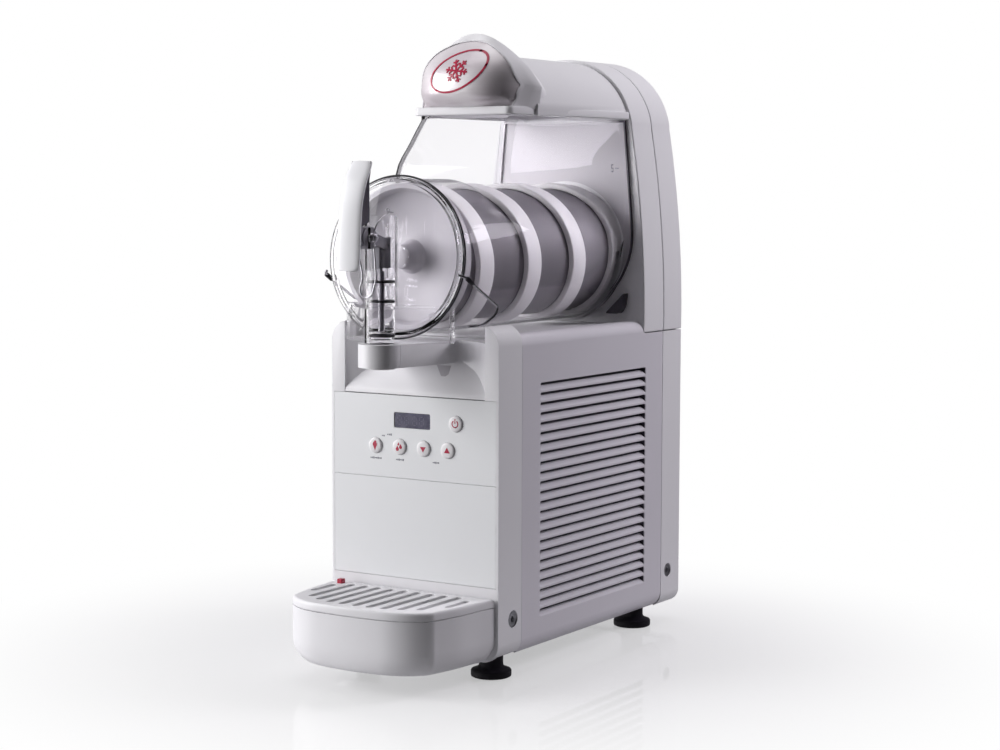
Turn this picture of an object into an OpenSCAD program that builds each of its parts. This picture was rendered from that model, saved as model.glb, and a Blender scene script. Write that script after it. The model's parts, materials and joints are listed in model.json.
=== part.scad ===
// Small counter-top slush and soft-ice machine with one five-litre clear bowl.
// Units are millimetres. X is the machine's right, -Y its front and +Z up.
// Every module works with Y = 0 on the front face of the body, and place() moves the result so
// that the origin is at the bottom centre of the whole machine.

/* [Body] */
// Overall width of the body
body_width = 200; // [180:1:230]
// Depth of the body from its front face to its back
body_depth = 382; // [340:1:420]
// Height of the bottom of the body above the counter
foot_gap = 19.5; // [12:0.5:40]
// Height of the top of the front surround
front_top = 350; // [330:1:360]
// Height of the joint between the lower body and the rear hood
shoulder_z = 327.4; // [315:0.2:332]
// Depth of the front surround from its face to the side seam
bezel_depth = 43.3; // [30:0.1:60]
// Width of the front surround's border
bezel_border = 16; // [10:0.5:24]
// Wall thickness of the moulded plastic
wall = 3; // [2:0.1:4]
// Y position of the seam between the panels and the rear covers
rear_seam = 339; // [320:1:350]
// Y position of the front face of the rear hood
hood_front_y = 293.7; // [280:0.1:300]
// Height of the top of the hood
hood_top = 623; // [600:1:640]

/* [Louvres] */
// Number of louvres in each side panel
louvre_count = 24; // [12:1:26]
// Distance between neighbouring louvres
louvre_pitch = 9.94; // [8:0.01:14]
// Height of the top edge of the highest louvre
louvre_top = 290; // [240:1:300]
// Y position of the front end of the louvres
louvre_y0 = 78.8; // [60:0.1:100]
// Y position of the back end of the louvres
louvre_y1 = 299.8; // [200:0.1:310]

/* [Front] */
// Height of the lower edge of the spout niche
niche_z = 277.7; // [270:0.1:285]
// Height of the seam under the control panel
panel_seam = 194.5; // [180:0.1:205]
// Height of the lower edge of the lower front panel
panel_low = 93.5; // [85:0.1:100]
// Half the width of the front panels
panel_w = 96.7; // [90:0.1:98]
// Height of the underside of the spout's nose
nose_z = 310.5; // [303:0.1:315]
// Diameter of each push button
button_d = 16; // [12:0.1:18]
// Travel of each push button
button_travel = 1.5; // [1:0.1:2]

/* [Drip tray] */
// Distance from the front face of the body to the front of the tray
tray_reach = 113.5; // [90:0.5:130]
// Height of the top of the tray's grid
tray_top = 84.2; // [60:0.1:90]
// Number of long slots in the grid
slot_count = 9; // [5:2:9]
// Distance between neighbouring slots
slot_pitch = 16; // [14:0.1:17]
// Width of each slot
slot_width = 7.6; // [5:0.1:9]

/* [Bowl] */
// Height of the barrel's axis
barrel_z = 416; // [412:0.5:420]
// Outer radius of the barrel
barrel_r = 76.2; // [75.6:0.1:76.8]
// Wall of the clear parts
clear_wall = 3; // [2.5:0.1:3.2]
// Tilt of the front cover, its foot leaning forward
cover_tilt = 3.6; // [0:0.1:4]
// Height of the hopper's rim
hopper_top = 556.6; // [555:0.1:562]

/* [Auger] */
// Radius of the steel drum
drum_r = 66; // [60:0.5:67]
// Outer radius of the auger's ribbon
auger_r = 72.6; // [70:0.1:72.8]
// Length of one full turn of the ribbon
auger_pitch = 90; // [60:1:120]
// Length of ribbon in the axial direction
ribbon_width = 27; // [15:1:35]

/* [Tap] */
// Y position of the tap's axis
tap_y = -54.5; // [-58:0.1:-52]
// Outer radius of the tap's tube
tap_r = 16; // [15.5:0.1:16.5]
// Y position of the handle's pivot
pivot_y = -84; // [-86:0.5:-82]
// Height of the handle's pivot
pivot_z = 436; // [434:0.5:438]

/* [Hidden] */
$fn = 64;
hw = body_width / 2;
y_mid = (body_depth - tray_reach) / 2;
in_w = hw - bezel_border;
seam = 0.4;
louvre_len = louvre_y1 - louvre_y0;
lid_z = 557;
arch_r = 84.6;
arch_z = hood_top - arch_r;
foot_x = 75;
foot_ys = [27, 319];
fit = 0.05;

module place() translate([0, -y_mid, 0]) children();
// 2D (x, z) shapes pushed along Y, and 2D (y, z) shapes pushed along X
module along_y(y0, y1) translate([0, y1, 0]) rotate([90, 0, 0]) linear_extrude(y1 - y0) children();
module along_x(x0, x1) translate([x0, 0, 0]) rotate([90, 0, 90]) linear_extrude(x1 - x0) children();
module rod_x(x0, x1, r, y, z, n = 0)
  translate([x0, y, z]) rotate([0, 90, 0]) cylinder(h = x1 - x0, r = r, $fn = n > 0 ? n : $fn);
module rod_y(y0, y1, r, x, z, n = 0)
  translate([x, y0, z]) rotate([-90, 0, 0]) cylinder(h = y1 - y0, r = r, $fn = n > 0 ? n : $fn);
module box(x0, x1, y0, y1, z0, z1) translate([x0, y0, z0]) cube([x1 - x0, y1 - y0, z1 - z0]);

function arc(x, z, r, a0, a1, n = 6) =
  [for (i = [0:n]) [x + r * cos(a0 + (a1 - a0) * i / n), z + r * sin(a0 + (a1 - a0) * i / n)]];
function flip(p) = [for (i = [len(p) - 1:-1:0]) [-p[i][0], p[i][1]]];
function both(p) = concat(p, flip(p));
function ellipse(a, b, n = 36) = [for (i = [0:n - 1]) [a * cos(360 * i / n), b * sin(360 * i / n)]];

// One straight piece of round wire, a little long so that bends join up
module wire_leg(p, q, r, turn = 0) {
  d = q - p;
  l = norm(d);
  translate(p) rotate([0, acos(d[2] / l), atan2(d[1], d[0])]) rotate([0, 0, turn])
    translate([0, 0, -0.35 * r]) cylinder(h = l + 0.7 * r, r = r, $fn = 8);
}
module wire(p, r) for (i = [0:len(p) - 2]) wire_leg(p[i], p[i + 1], r, 11 + 19 * (i % 2));

// ---- outlines ----
// Front surround, shrunk by d on every side
module front_outline(d = 0) polygon(both(concat(
  arc(hw - 18, foot_gap + 18, 18 - d, -90, 0), arc(hw - 20, front_top - 20, 20 - d, 0, 90))));
// Arch of the rear hood: a long gentle curve up each side and a half round on top
module hood_outline(d = 0) {
  big = 1200;
  side = [for (i = [0:7]) let (z = shoulder_z + 18 + i * (548 - shoulder_z - 18) / 7)
    [hw + 0.8 - d - (big - sqrt(big * big - pow(z - shoulder_z - 18, 2))), z]];
  polygon(both(concat([[hw + 0.6 - d, shoulder_z + 0.6 + (d > 0 ? -5 : 0)]], side,
    arc(0, arch_z, arch_r - d, 9.5, 90, 12))));
}
// Rear flange of the bowl: round below, narrower at the top
module flange_outline(d = 0, top = hopper_top)
  polygon(both(concat(arc(0, 432.5, 87 - d, -90, 4, 16), [[76.5 - d, top]])));
// Plan of the drip tray, shrunk by d
function tray_half(d) = concat([[0, -tray_reach + d]], [for (a = [[27, 0.9], [48.5, 3.5], [67, 10.5],
  [81.5, 22.5], [85.5, 33.5], [91, 59.5], [94, 89.5]]) [a[0] - d * 0.9, -tray_reach + a[1] + d * 0.5]],
  [[97 - d, -2 - (d > 1 ? d : 0)]]);
module tray_plan(d = 0) polygon(concat(tray_half(d), [for (i = [len(tray_half(d)) - 1:-1:1])
  [-tray_half(d)[i][0], tray_half(d)[i][1]]]));
// Arch of the visor's face and of the brim round it: half-width a, height of its top, scaled by k
function visor_arch(a, top, k = 1) = both([for (p = concat([[a * 0.95, 562], [a * 0.99, 572]],
  [for (i = [0:14]) [a * cos(i * 90 / 14), 584 + (top - 584) * sin(i * 90 / 14)]])) [p[0] * k, 590 + (p[1] - 590) * k]]);
// A strip bowed in plan, pushed up along the slope of the visor's face; lo and hi are depths behind the face
module bowed(lo, hi) translate([0, 80, 562]) rotate([-13.3, 0, 0]) translate([0, 0, -8]) linear_extrude(98)
  polygon(concat([for (i = [-12:12]) [i * 6.3, 24 * pow(abs(i * 6.3 / 61), 2.6) + lo]],
    [for (i = [12:-1:-12]) [i * 6.3, 24 * pow(abs(i * 6.3 / 61), 2.6) + hi]]));
// The axis of the tilted front cover: local Y is its own axis
module on_cover() translate([0, -28, barrel_z]) rotate([-cover_tilt, 0, 0]) children();

// ---- base and frame ----
module base_pan() place() color("silver") difference() {
  union() {
    box(-88, 88, 6.5, 372, 22, 24);
    for (x = [-88, 86.5]) box(x, x + 1.5, 6.5, 372, 24, 36);
  }
  for (x = [-foot_x, foot_x], y = foot_ys) translate([x, y, 20]) cylinder(h = 8, r = 4 + fit);
}
module chassis_frame() place() color("gainsboro") difference() {
  union() {
    box(-82, 82, 297.5, 299.5, 24.3, 520);
    for (x = [-82, 80]) box(x, x + 2, 299.5, 309, 24.3, 320);
    box(-82, 82, 299.5, 310, 24.3, 26.3);
  }
  rod_y(290, 310, 17, 0, barrel_z);
  rod_y(290, 310, 34, 0, 130);
  for (x = [-52, 52], z = [384, 448]) rod_y(290, 310, 3, x, z);
}
module foot_pads() place() color("dimgray") for (x = [-foot_x, foot_x], y = foot_ys)
  translate([x, y, 0]) rotate_extrude() polygon([[0, 0], [19, 0], [20.3, 2], [20.3, 7], [13, 10],
    [12, 21.7], [4 + fit, 21.7], [4 + fit, 3], [0, 3]]);
module foot_studs() place() color("lightgray") for (x = [-foot_x, foot_x], y = foot_ys)
  translate([x, y, 0]) {
    translate([0, 0, 3.1]) cylinder(h = 30, r = 4);
    translate([0, 0, 24.1]) cylinder(h = 6.5, r = 7.5, $fn = 6);
  }

// ---- outer panels ----
module front_bezel() place() color("whitesmoke") difference() {
  union() {
    difference() {
      along_y(0, bezel_depth) front_outline();
      along_y(wall, bezel_depth + 1) front_outline(wall);
    }
    for (s = [-1, 1]) translate([s < 0 ? -in_w - 2.5 : in_w - 1, 1, panel_low - 2])
      cube([3.5, 21, front_top - wall - panel_low + 3]);
    box(-in_w - 1, in_w + 1, 1, 22, panel_low - 2.5, panel_low + 1);
  }
  box(-in_w, in_w, -1, 60, panel_low, 400);
  box(-panel_w - 0.3, panel_w + 0.3, -1, 3.1, panel_low, niche_z);
  box(-96, 96, 6, 60, 10, 25);
  for (s = [-1, 1]) rod_x(s * 98.5 - 6, s * 98.5 + 6, 8.5 + fit, 27.5, 60);
  for (x = [-50, 50]) box(x - 9, x + 9, -1, 10, 60, 70);
}
// Folded sheet with pressed louvres; s is 1 for the right side and -1 for the left
module side_panel(s) difference() {
  union() {
    difference() {
      along_y(bezel_depth + seam, rear_seam - seam) polygon([for (p = concat(
        arc(hw - 18, foot_gap + 18, 18, -60, 0), arc(hw - 12, 328, 12, 0, 90), [[hw - 20, 340],
        [hw - 20, 338]], arc(hw - 12, 328, 10, 90, 0), arc(hw - 18, foot_gap + 18, 16, 0, -60)))
        [s * p[0], p[1]]]);
      box(-120, 120, hood_front_y - seam, 400, shoulder_z - seam, 400);
      for (i = [0:louvre_count - 1]) translate([s * hw - 6, louvre_y0, louvre_top - 7.4 - i * louvre_pitch])
        cube([12, louvre_len, 7.4]);
    }
    for (i = [0:louvre_count - 1]) let (z = louvre_top - i * louvre_pitch)
      along_y(louvre_y0 - 0.6, louvre_y1 + 0.6) polygon([for (p = [[hw, z - 7.6], [hw, z - 7.0],
        [hw - 3.2, z - 2.4], [hw - 4.6, z - 2.4], [hw - 1.6, z - 8.2], [hw - 0.4, z - 8.2]]) [s * p[0], p[1]]]);
  }
}
module side_panel_right() place() color("gainsboro") side_panel(1);
module side_panel_left() place() color("gainsboro") side_panel(-1);
module top_deck() place() color("white") difference() {
  box(-86, 86, bezel_depth + seam, hood_front_y - seam, 334.6, 337.6);
  box(-40, 40, 60, 280, 336.4, 340);
}
// Lower back cover: a deep tray with air slots
module rear_cover() place() color("whitesmoke") difference() {
  along_y(rear_seam + seam, body_depth) polygon(both(concat(
    arc(hw - 15, foot_gap + 15, 15, -90, 0), [[hw, shoulder_z - seam]])));
  along_y(rear_seam - 1, body_depth - wall) polygon(both(concat(
    arc(hw - 15, foot_gap + 15, 12, -90, 0), [[hw - wall, shoulder_z + 1]])));
  box(-90, 90, rear_seam - 1, 372.5, 10, 25);
  for (i = [0:11]) box(-62, 62, 370, 390, 130 + i * 12, 135 + i * 12);
  for (s = [-1, 1]) rod_x(s * 98.5 - 6, s * 98.5 + 6, 7.5 + fit, 355, 59);
  rod_y(370, 390, 9 + fit, 55, 62);
}
module panel_screws() place() color("darkgray") for (s = [-1, 1], f = [[27.5, 60, 8.5], [355, 59, 7.5]])
  difference() {
    rod_x(s * 98.2 - 1.1, s * 98.2 + 1.1, f[2], f[0], f[1]);
    rod_x(s * 99.3 - 1.2, s * 99.3 + 1.2, 3, f[0], f[1], 6);
  }
module hood_front() place() color("whitesmoke") difference() {
  along_y(hood_front_y, rear_seam - seam) hood_outline();
  along_y(hood_front_y + wall, rear_seam + 1) hood_outline(wall);
  rod_y(290, 300, 22, 0, barrel_z);
}
module hood_back() place() color("whitesmoke") difference() {
  along_y(rear_seam + seam, body_depth) hood_outline();
  along_y(rear_seam - 1, body_depth - wall) hood_outline(wall);
  for (i = [0:5]) box(-40, 40, 370, 390, 480 + i * 12, 485 + i * 12);
}

// ---- front ----
// Spout niche: a rounded nose with a cove on each side, above a front that leans back
cove = [[22.5, tap_y], [25.5, -32], [28.2, -12], [30, 2], [31.2, 12], [33, 19.5], [36.5, 23.4], [41, 23.2], [48, 21.4],
  [55, 19], [63, 16], [71, 11.6], [78, 6.4], [in_w - 0.4, 1.2]];
module console_plan(d = 0) union() {
  translate([0, tap_y]) circle(r = 22.5 - d, $fn = 48);
  polygon(both(concat([for (p = cove) [p[0] - d, p[1] + (p[1] > 0 ? d : 0)]],
    [[in_w - 0.4 - d, bezel_depth - 0.6 - d]])));
}
module spout_console() place() color("white") difference() {
  union() {
    translate([0, 0, nose_z]) linear_extrude(333 - nose_z) console_plan();
    // the coves' walls reach down to the leaning front
    translate([0, 0, niche_z + 4]) linear_extrude(nose_z - niche_z) difference() {
      console_plan(0.06);
      translate([-36, -90]) square([72, 112]);
    }
    // leaning front
    along_x(-in_w + 0.4, in_w - 0.4) polygon([[0, niche_z + seam], [3, niche_z + seam], [29.5, 317.4],
      [26, 317.4], [0, niche_z + 3.4]]);
  }
  translate([0, 0, nose_z + 3]) linear_extrude(327 - nose_z) difference() {
    console_plan(3);
    translate([0, tap_y]) circle(r = 17, $fn = 48);
  }
  translate([0, tap_y, 290]) cylinder(h = 60, r = 13.8);
}
module nozzle() place() color("white") translate([0, tap_y, nose_z - 2]) difference() {
  cylinder(h = 335 - nose_z, r = 13.7);
  translate([0, 0, 4]) cylinder(h = 40, r = 10.5);
  translate([0, 0, -1]) linear_extrude(8) polygon([for (i = [0:11])
    (i % 2 == 0 ? 8.6 : 4.6) * [cos(30 * i), sin(30 * i)]]);
}
button_list = [[50.6, 253, 0], [-45.5, 226, 1], [-16.2, 226, 2], [12.7, 226, 3], [41.2, 226, 4]];
module control_panel() place() color("white") difference() {
  union() {
    box(-panel_w, panel_w, 0.2, 2.8, panel_seam + seam, niche_z - seam / 2);
    for (z = [panel_seam + 2, niche_z - 5]) box(-in_w + 2, in_w - 2, 2.8, 12, z, z + 2);
  }
  for (b = button_list) rod_y(-1, 5, button_d / 2 + 0.1, b[0], b[1]);
  box(-23.4, 19.9, -1, 5, 245, 260.5);
}
module lower_front_panel() place() color("white") {
  box(-panel_w, panel_w, 0.2, 2.8, panel_low + seam, panel_seam - seam / 2);
  for (z = [panel_low + 2, panel_seam - 5]) box(-in_w + 2, in_w - 2, 2.8, 12, z, z + 2);
}
module display_window() place() color("darkslategray") box(-23.3, 19.8, 0.6, 2.4, 245.1, 260.4);
module display_module() place() color("dimgray") box(-22, 18.5, 3, 11.7, 244, 261.5);
module control_board() place() color("seagreen") {
  box(-66, 66, 12.4, 14, 206, 268);
  for (b = button_list) box(b[0] - 3, b[0] + 3, 9.4, 12.4, b[1] - 3, b[1] + 3);
  for (x = [-50, -20, 15, 44]) box(x, x + 16, 14, 24, 210, 222);
}
module button(b) place() color("white") {
  rod_y(-0.9, 2.8, button_d / 2, b[0], b[1]);
  rod_y(2.95, 4.2, button_d / 2 + 1.4, b[0], b[1]);
  rod_y(2.6, 9.1 - button_travel, 2.2, b[0], b[1]);
}
module power_button() button(button_list[0]);
module cone_button() button(button_list[1]);
module drops_button() button(button_list[2]);
module down_button() button(button_list[3]);
module up_button() button(button_list[4]);
// Small printed labels under the lower buttons
module button_icons() place() color("slategray") for (b = [[-45.5, 7], [-16.2, 5], [27, 4]])
  box(b[0] - b[1], b[0] + b[1], 0, 0.2, 212.6, 213.6);

// ---- drip tray ----
module drip_tray() place() color("white") difference() {
  union() {
    hull() {
      translate([0, 0, 44]) linear_extrude(31.3) tray_plan();
      translate([0, 0, 30]) linear_extrude(1) tray_plan(6);
      translate([0, 0, 21.5]) linear_extrude(1) tray_plan(16);
    }
    for (x = [-50, 50]) box(x - 6, x + 6, -5, 5.4, 62, 68);
  }
  hull() {
    translate([0, 0, 44]) linear_extrude(40) tray_plan(3);
    translate([0, 0, 33]) linear_extrude(1) tray_plan(8);
    translate([0, 0, 25]) linear_extrude(1) tray_plan(18.5);
  }
}
// Long slots run front to back, and the outer ones are shorter where the front curves away
module drip_grid() place() color("white") difference() {
  translate([0, 0, 75.7]) linear_extrude(tray_top - 75.7) tray_plan();
  translate([0, 0, 70]) linear_extrude(10.7) tray_plan(3);
  for (i = [-(slot_count - 1) / 2:(slot_count - 1) / 2]) let (x = i * slot_pitch,
    y0 = -tray_reach + 12 + pow(abs(x) / 64, 3) * 16, w = slot_width / 2)
    translate([x, 0, 70]) linear_extrude(20) polygon(concat([for (a = [180:30:360])
      [w * cos(a), y0 + w + w * sin(a)]], [for (a = [0:30:180]) [w * cos(a), -12 - w + w * sin(a)]]));
  for (s = [-1, 1]) translate([s * 80, 0, 70]) linear_extrude(20) polygon(concat([for (a = [180:30:360])
    [3.4 * cos(a), -58 + 3.4 * sin(a)]], [for (a = [0:30:180]) [3.4 * cos(a), -26 + 3.4 * sin(a)]]));
  box(-83.4, -76.4, -16.6, -9.6, 60, 100);
}
module tray_float() place() color("crimson") {
  box(-83, -76.8, -16.2, -10, 66, 88.6);
  box(-86, -70, -24, -8, 56, 66);
}

// ---- bowl ----
// Hopper body, narrower to the front, shrunk by d
module hopper(d = 0) hull() {
  translate([0, 0, hopper_top]) linear_extrude(0.1 + d) hopper_plan(88 + d, 57 - d, 288 - d, 76 - d);
  translate([0, 0, 497]) linear_extrude(0.1) hopper_plan(55 + d, 69 - d, 288 - d, 81.5 - d);
  translate([0, 0, 446]) linear_extrude(0.1) hopper_plan(60 + d, 69.5 - d, 288 - d, 84 - d);
  translate([0, 0, 418]) linear_extrude(0.1) hopper_plan(90 + d, 73 - d, 288 - d, 76 - d);
}
module hopper_plan(y0, w0, y1, w1) polygon(concat([[w1, y1]], arc(w0 - 20, y0 + 20, 20, -4, -90, 5),
  [for (i = [5:-1:0]) let (a = arc(w0 - 20, y0 + 20, 20, -4, -90, 5)[i]) [-a[0], a[1]]], [[-w1, y1]]));
module bowl() place() color([0.85, 0.9, 0.95, 0.5]) difference() {
  union() {
    difference() {
      rod_y(-40, 288, barrel_r, 0, barrel_z);
      on_cover() translate([-100, -60, -100]) cube([200, 61.3, 200]);
    }
    on_cover() rod_y(1.3, 5, 81, 0, 0);
    hopper();
    along_y(284, 290.3) flange_outline(0.2);
    for (s = [-1, 1]) along_y(8, 24) polygon([for (p = [[60, 376], [76, 362], [76, 350], [66, 350],
      [52, 362]]) [s * p[0], p[1]]]);
  }
  rod_y(-60, 292, barrel_r - clear_wall, 0, barrel_z);
  intersection() {
    hopper(clear_wall);
    box(-90, 90, 0, 292, barrel_z, 700);
  }
  along_y(280, 292) flange_outline(10, hopper_top - 14);
  for (s = [-1, 1]) rod_x(s * 70 - 10, s * 70 + 10, 1.6, 16, 355);
}
module bowl_gasket() place() color("dimgray") along_y(290.5, 293.4) difference() {
  union() {
    flange_outline(0.4, hopper_top - 3);
    translate([0, barrel_z]) circle(r = 77.4);
  }
  flange_outline(7, hopper_top - 17);
  translate([0, barrel_z]) circle(r = 73.8);
}
module cover_seal() place() color("black") on_cover() difference() {
  rod_y(-1.2, 1.2, 81, 0, 0);
  rod_y(-3, 3, 77, 0, 0);
}
// V-shaped chin under the tap, seen from above
module chin_plan(d = 0) polygon([[62 - d * 1.3, -20], [64 - d * 1.3, -24], [13 - d * 0.8, tap_y - 12 + d * 0.6],
  [6, tap_y - 17 + d], [-6, tap_y - 17 + d], [-13 + d * 0.8, tap_y - 12 + d * 0.6], [-64 + d * 1.3, -24],
  [-62 + d * 1.3, -20]]);
module front_cover() place() color([0.85, 0.9, 0.95, 0.5]) difference() {
  union() {
    on_cover() {
      difference() {
        rod_y(-5, -1.3, 81, 0, 0);
        rod_y(-6, 0, 73, 0, 0);
      }
      rod_y(-8, -5, 76.5, 0, 0);
    }
    intersection() {
      rod_y(-100, -34, 78.5, 0, barrel_z);
      translate([0, 0, 334]) linear_extrude(36) chin_plan();
    }
    translate([0, tap_y, 334.6]) cylinder(h = 457 - 334.6, r = tap_r);
    box(-4, 4, -42, -35, 372, 448);
    for (s = [-1, 1]) box(s < 0 ? -13.6 : 10.6, s < 0 ? -10.6 : 13.6, -91, -60, 426, 446);
  }
  difference() {
    intersection() {
      rod_y(-100, -30, 75.5, 0, barrel_z);
      translate([0, 0, 330]) linear_extrude(37) chin_plan(3);
    }
    translate([0, tap_y, 300]) cylinder(h = 100, r = tap_r);
  }
  translate([0, tap_y, 320]) cylinder(h = 160, r = 13.5);
  box(-8, 8, tap_y, -34, 346, 364);
  box(-10.2, 10.2, -80, tap_y, 404, 470);
  rod_x(-20, 20, 2.5 + fit, pivot_y, pivot_z);
}
// Bent wire clip that holds the front cover on, one on each side
module latch(s) place() color("silver") {
  wire([[s * 66, 16, 355], [s * 79, 16, 355], [s * 82.6, 23, 367], [s * 83.4, -18, 390], [s * 83.4, -34, 399],
    [s * 78, -38, 401]], 1.5);
}
module latch_right() latch(1);
module latch_left() latch(-1);

// ---- tap ----
module tap_piston() place() color("whitesmoke") translate([0, tap_y, 0]) difference() {
  union() {
    translate([0, 0, 337]) cylinder(h = 41, r = 13.2);
    translate([0, 0, 389]) cylinder(h = 8, r = 13.2);
    translate([0, 0, 377]) cylinder(h = 13, r = 5);
  }
  for (z = [340, 373, 392]) translate([0, 0, z]) difference() {
    cylinder(h = 2.4, r = 14);
    cylinder(h = 2.4, r = 12);
  }
  translate([0, 0, 339]) cylinder(h = 80, r = 2.7 + fit);
  translate([0, 0, 330]) cylinder(h = 7.05, r = 10);
}
module piston_seals() place() color("black") for (z = [340.2, 373.2, 392.2]) translate([0, tap_y, z])
  difference() {
    cylinder(h = 2, r = 13.45);
    translate([0, 0, -1]) cylinder(h = 4, r = 12.05);
  }
module piston_rod() place() color("dimgray") difference() {
  union() {
    translate([0, tap_y, 339.2]) cylinder(h = 68, r = 2.7);
    box(-5, 5, tap_y - 9.5, tap_y + 9.5, 406, 436);
  }
  box(-6, 6, tap_y - 2.2, tap_y + 3.5, 425.9, 430.1);
}
// Curved paddle with a hub and two cheeks that carry the link pin
function paddle(d) = [[-110 + d, 405], [-108.8 + d, 425], [-107.4 + d, 445], [-105.2 + d, 465],
  [-102 + d, 478], [-97 + d, 491], [-91 + d, 501], [-86.5 + d * 0.6, 508.5]];
module tap_handle() place() color("silver") difference() {
  union() {
    along_x(-13, 13) polygon(concat(paddle(0), [for (i = [7:-1:0]) paddle(3)[i]]));
    for (s = [-1, 1]) along_x(s < 0 ? -13 : 10.5, s < 0 ? -10.5 : 13) polygon(concat([for (i = [2:7])
      paddle(0.5)[i]], [[-85.4, 507], [-89.1, 496], [-89.1, 451]]));
    rod_x(-8, 8, 11, pivot_y, pivot_z);
    along_x(-8, 8) polygon([[-107, 426], [-107, 452], [-86, 446], [-90, 428]]);
    for (s = [-1, 1]) along_x(s < 0 ? -8 : 5.4, s < 0 ? -5.4 : 8) polygon([[-80, 442],
      [-54, 433], [-50.5, 430.5], [-50.5, 425.5], [-54, 423.5], [-80, 429]]);
  }
  rod_x(-20, 20, 2.5 + fit, pivot_y, pivot_z);
  rod_x(-20, 20, 1.9 + fit, tap_y, 428);
}
module handle_pin() place() color("silver") {
  rod_x(-14, 14, 2.5, pivot_y, pivot_z);
  for (s = [-1, 1]) rod_x(s < 0 ? -15.4 : 13.7, s < 0 ? -13.7 : 15.4, 3.6, pivot_y, pivot_z);
}
module link_pin() place() color("silver") rod_x(-8, 8, 1.9, tap_y, 428);
// Hairpin wire: two small eyes on the pivot pin, a loop below and a leg over the tap's top
module tap_spring() place() color("silver") {
  for (s = [-1, 1]) difference() {
    rod_x(s * 9.1 - 0.8, s * 9.1 + 0.8, 4.9, pivot_y, pivot_z);
    rod_x(s * 9.1 - 2, s * 9.1 + 2, 3.1, pivot_y, pivot_z);
  }
  wire([[-9.1, pivot_y + 2.4, pivot_z - 3.2], [-9.2, -77.8, 416], [-2, -76.8, 396], [-9.6, -77.3, 386],
    [-5, -76.6, 379], [3, -77.2, 380], [10, -76.9, 396], [9.2, -77.8, 416], [9.1, pivot_y + 2.4, pivot_z - 3.2]], 0.9);
  wire([[9.1, pivot_y + 1, pivot_z + 3.9], [9.3, -70, 453], [9, -58, 458.6], [4, -42, 459.4]], 0.9);
}

// ---- lid ----
module lid_arch(d, k) polygon(both(concat([[76 * k - d, lid_z - (d > 0 ? 2 : 0)], [76 * k - d, 562]],
  arc(0, arch_z, arch_r - 3 - d, 22, 90, 8) * [[k, 0], [0, 1]])));
module lid() place() color("whitesmoke") difference() {
  union() {
    hull() {
      along_y(290, hood_front_y - seam) lid_arch(0, 1);
      along_y(93, 95) lid_arch(0, 0.83);
    }
    intersection() {
      bowed(0, 75);
      hull() {
        along_y(74, 98) polygon(visor_arch(61, 633.5));
        along_y(114, 126) polygon(visor_arch(70, 640));
        along_y(152, 154) lid_arch(1.5, 0.9);
      }
    }
  }
  hull() {
    along_y(287, hood_front_y - 3) lid_arch(2.6, 1);
    along_y(112, 114) lid_arch(2.6, 0.85);
  }
  intersection() {
    bowed(4.6, 60);
    along_y(60, 150) polygon(visor_arch(61, 633.5, 0.87));
  }
  intersection() {
    bowed(-20, 2.2);
    along_y(60, 150) polygon(visor_arch(61, 633.5, 0.93));
  }
}
module visor_plate() place() color("silver") intersection() {
  bowed(0.65, 2.15);
  along_y(60, 150) polygon(visor_arch(61, 633.5, 0.925));
}
module visor_emblem() place() color("crimson") intersection() {
  bowed(0.2, 0.62);
  along_y(60, 150) translate([0, 601]) {
    difference() {
      polygon(ellipse(31, 24));
      polygon(ellipse(28.4, 21.4));
    }
    for (a = [30:60:150]) rotate(a) {
      square([34, 2.2], center = true);
      for (s = [-1, 1], t = [-1, 1]) translate([s * 9, 0]) rotate(90 - 90 * s + t * 55) translate([0, -0.9])
        square([6.5, 1.8]);
    }
  }
}

// ---- cold drum and drive ----
module evaporator_drum() place() color("silver") difference() {
  union() {
    rod_y(2, 290.2, drum_r, 0, barrel_z);
    rod_y(289, 293.2, 58, 0, barrel_z);
  }
  rod_y(4, 288, drum_r - 2, 0, barrel_z);
  rod_y(-20, 300, 9, 0, barrel_z);
  rod_y(289, 300, 12 + fit, 0, barrel_z);
}
// White helical scraper with a dished disc in front and a ring at the back
module auger() place() color("white") difference() {
  step = 60 * ribbon_width / auger_pitch;
  union() {
    translate([0, 277, barrel_z]) rotate([90, 0, 0]) linear_extrude(height = 290, twist = -360 * 290 / auger_pitch,
      slices = 116, $fn = 3) polygon(concat([for (i = [0:6]) auger_r * [cos(i * step), sin(i * step)]],
      [for (i = [6:-1:0]) (drum_r + 1.3) * [cos(i * step), sin(i * step)]]));
    difference() {
      rod_y(-16.5, 1.2, auger_r - 0.6, 0, barrel_z);
      rod_y(-20, -2.2, 64.5, 0, barrel_z);
    }
    rod_y(-15.5, 0, 13.5, 0, barrel_z);
    difference() {
      rod_y(273, 281, auger_r - 0.6, 0, barrel_z);
      rod_y(270, 290, drum_r + 0.5, 0, barrel_z);
    }
  }
  rod_y(-30, 5, 6.1, 0, barrel_z);
}
module drive_shaft() place() color("lightgray") {
  rod_y(-19, 320, 6, 0, barrel_z);
  rod_y(-22, -17.2, 10, 0, barrel_z, 6);
}
module shaft_seal() place() color("dimgray") difference() {
  rod_y(289.2, 301, 12, 0, barrel_z);
  rod_y(280, 310, 6 + fit, 0, barrel_z);
}
module gearmotor() place() color("slategray") difference() {
  union() {
    box(-44, 44, 303, 338, 372, 460);
    rod_y(337, 374, 33, 0, barrel_z);
    for (x = [-52, 52], z = [384, 448]) rod_y(299.7, 306, 5, x, z);
    box(-57, 57, 305, 309, 376, 456);
  }
  rod_y(290, 320.5, 6.1, 0, barrel_z);
}
module bowl_stops() place() color("black") for (s = [-1, 1]) along_y(283, hood_front_y - 0.3)
  polygon([for (p = [[58, 348], [74, 348], [79, 356], [81.4, 371], [70, 360]]) [s * p[0], p[1]]]);

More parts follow.
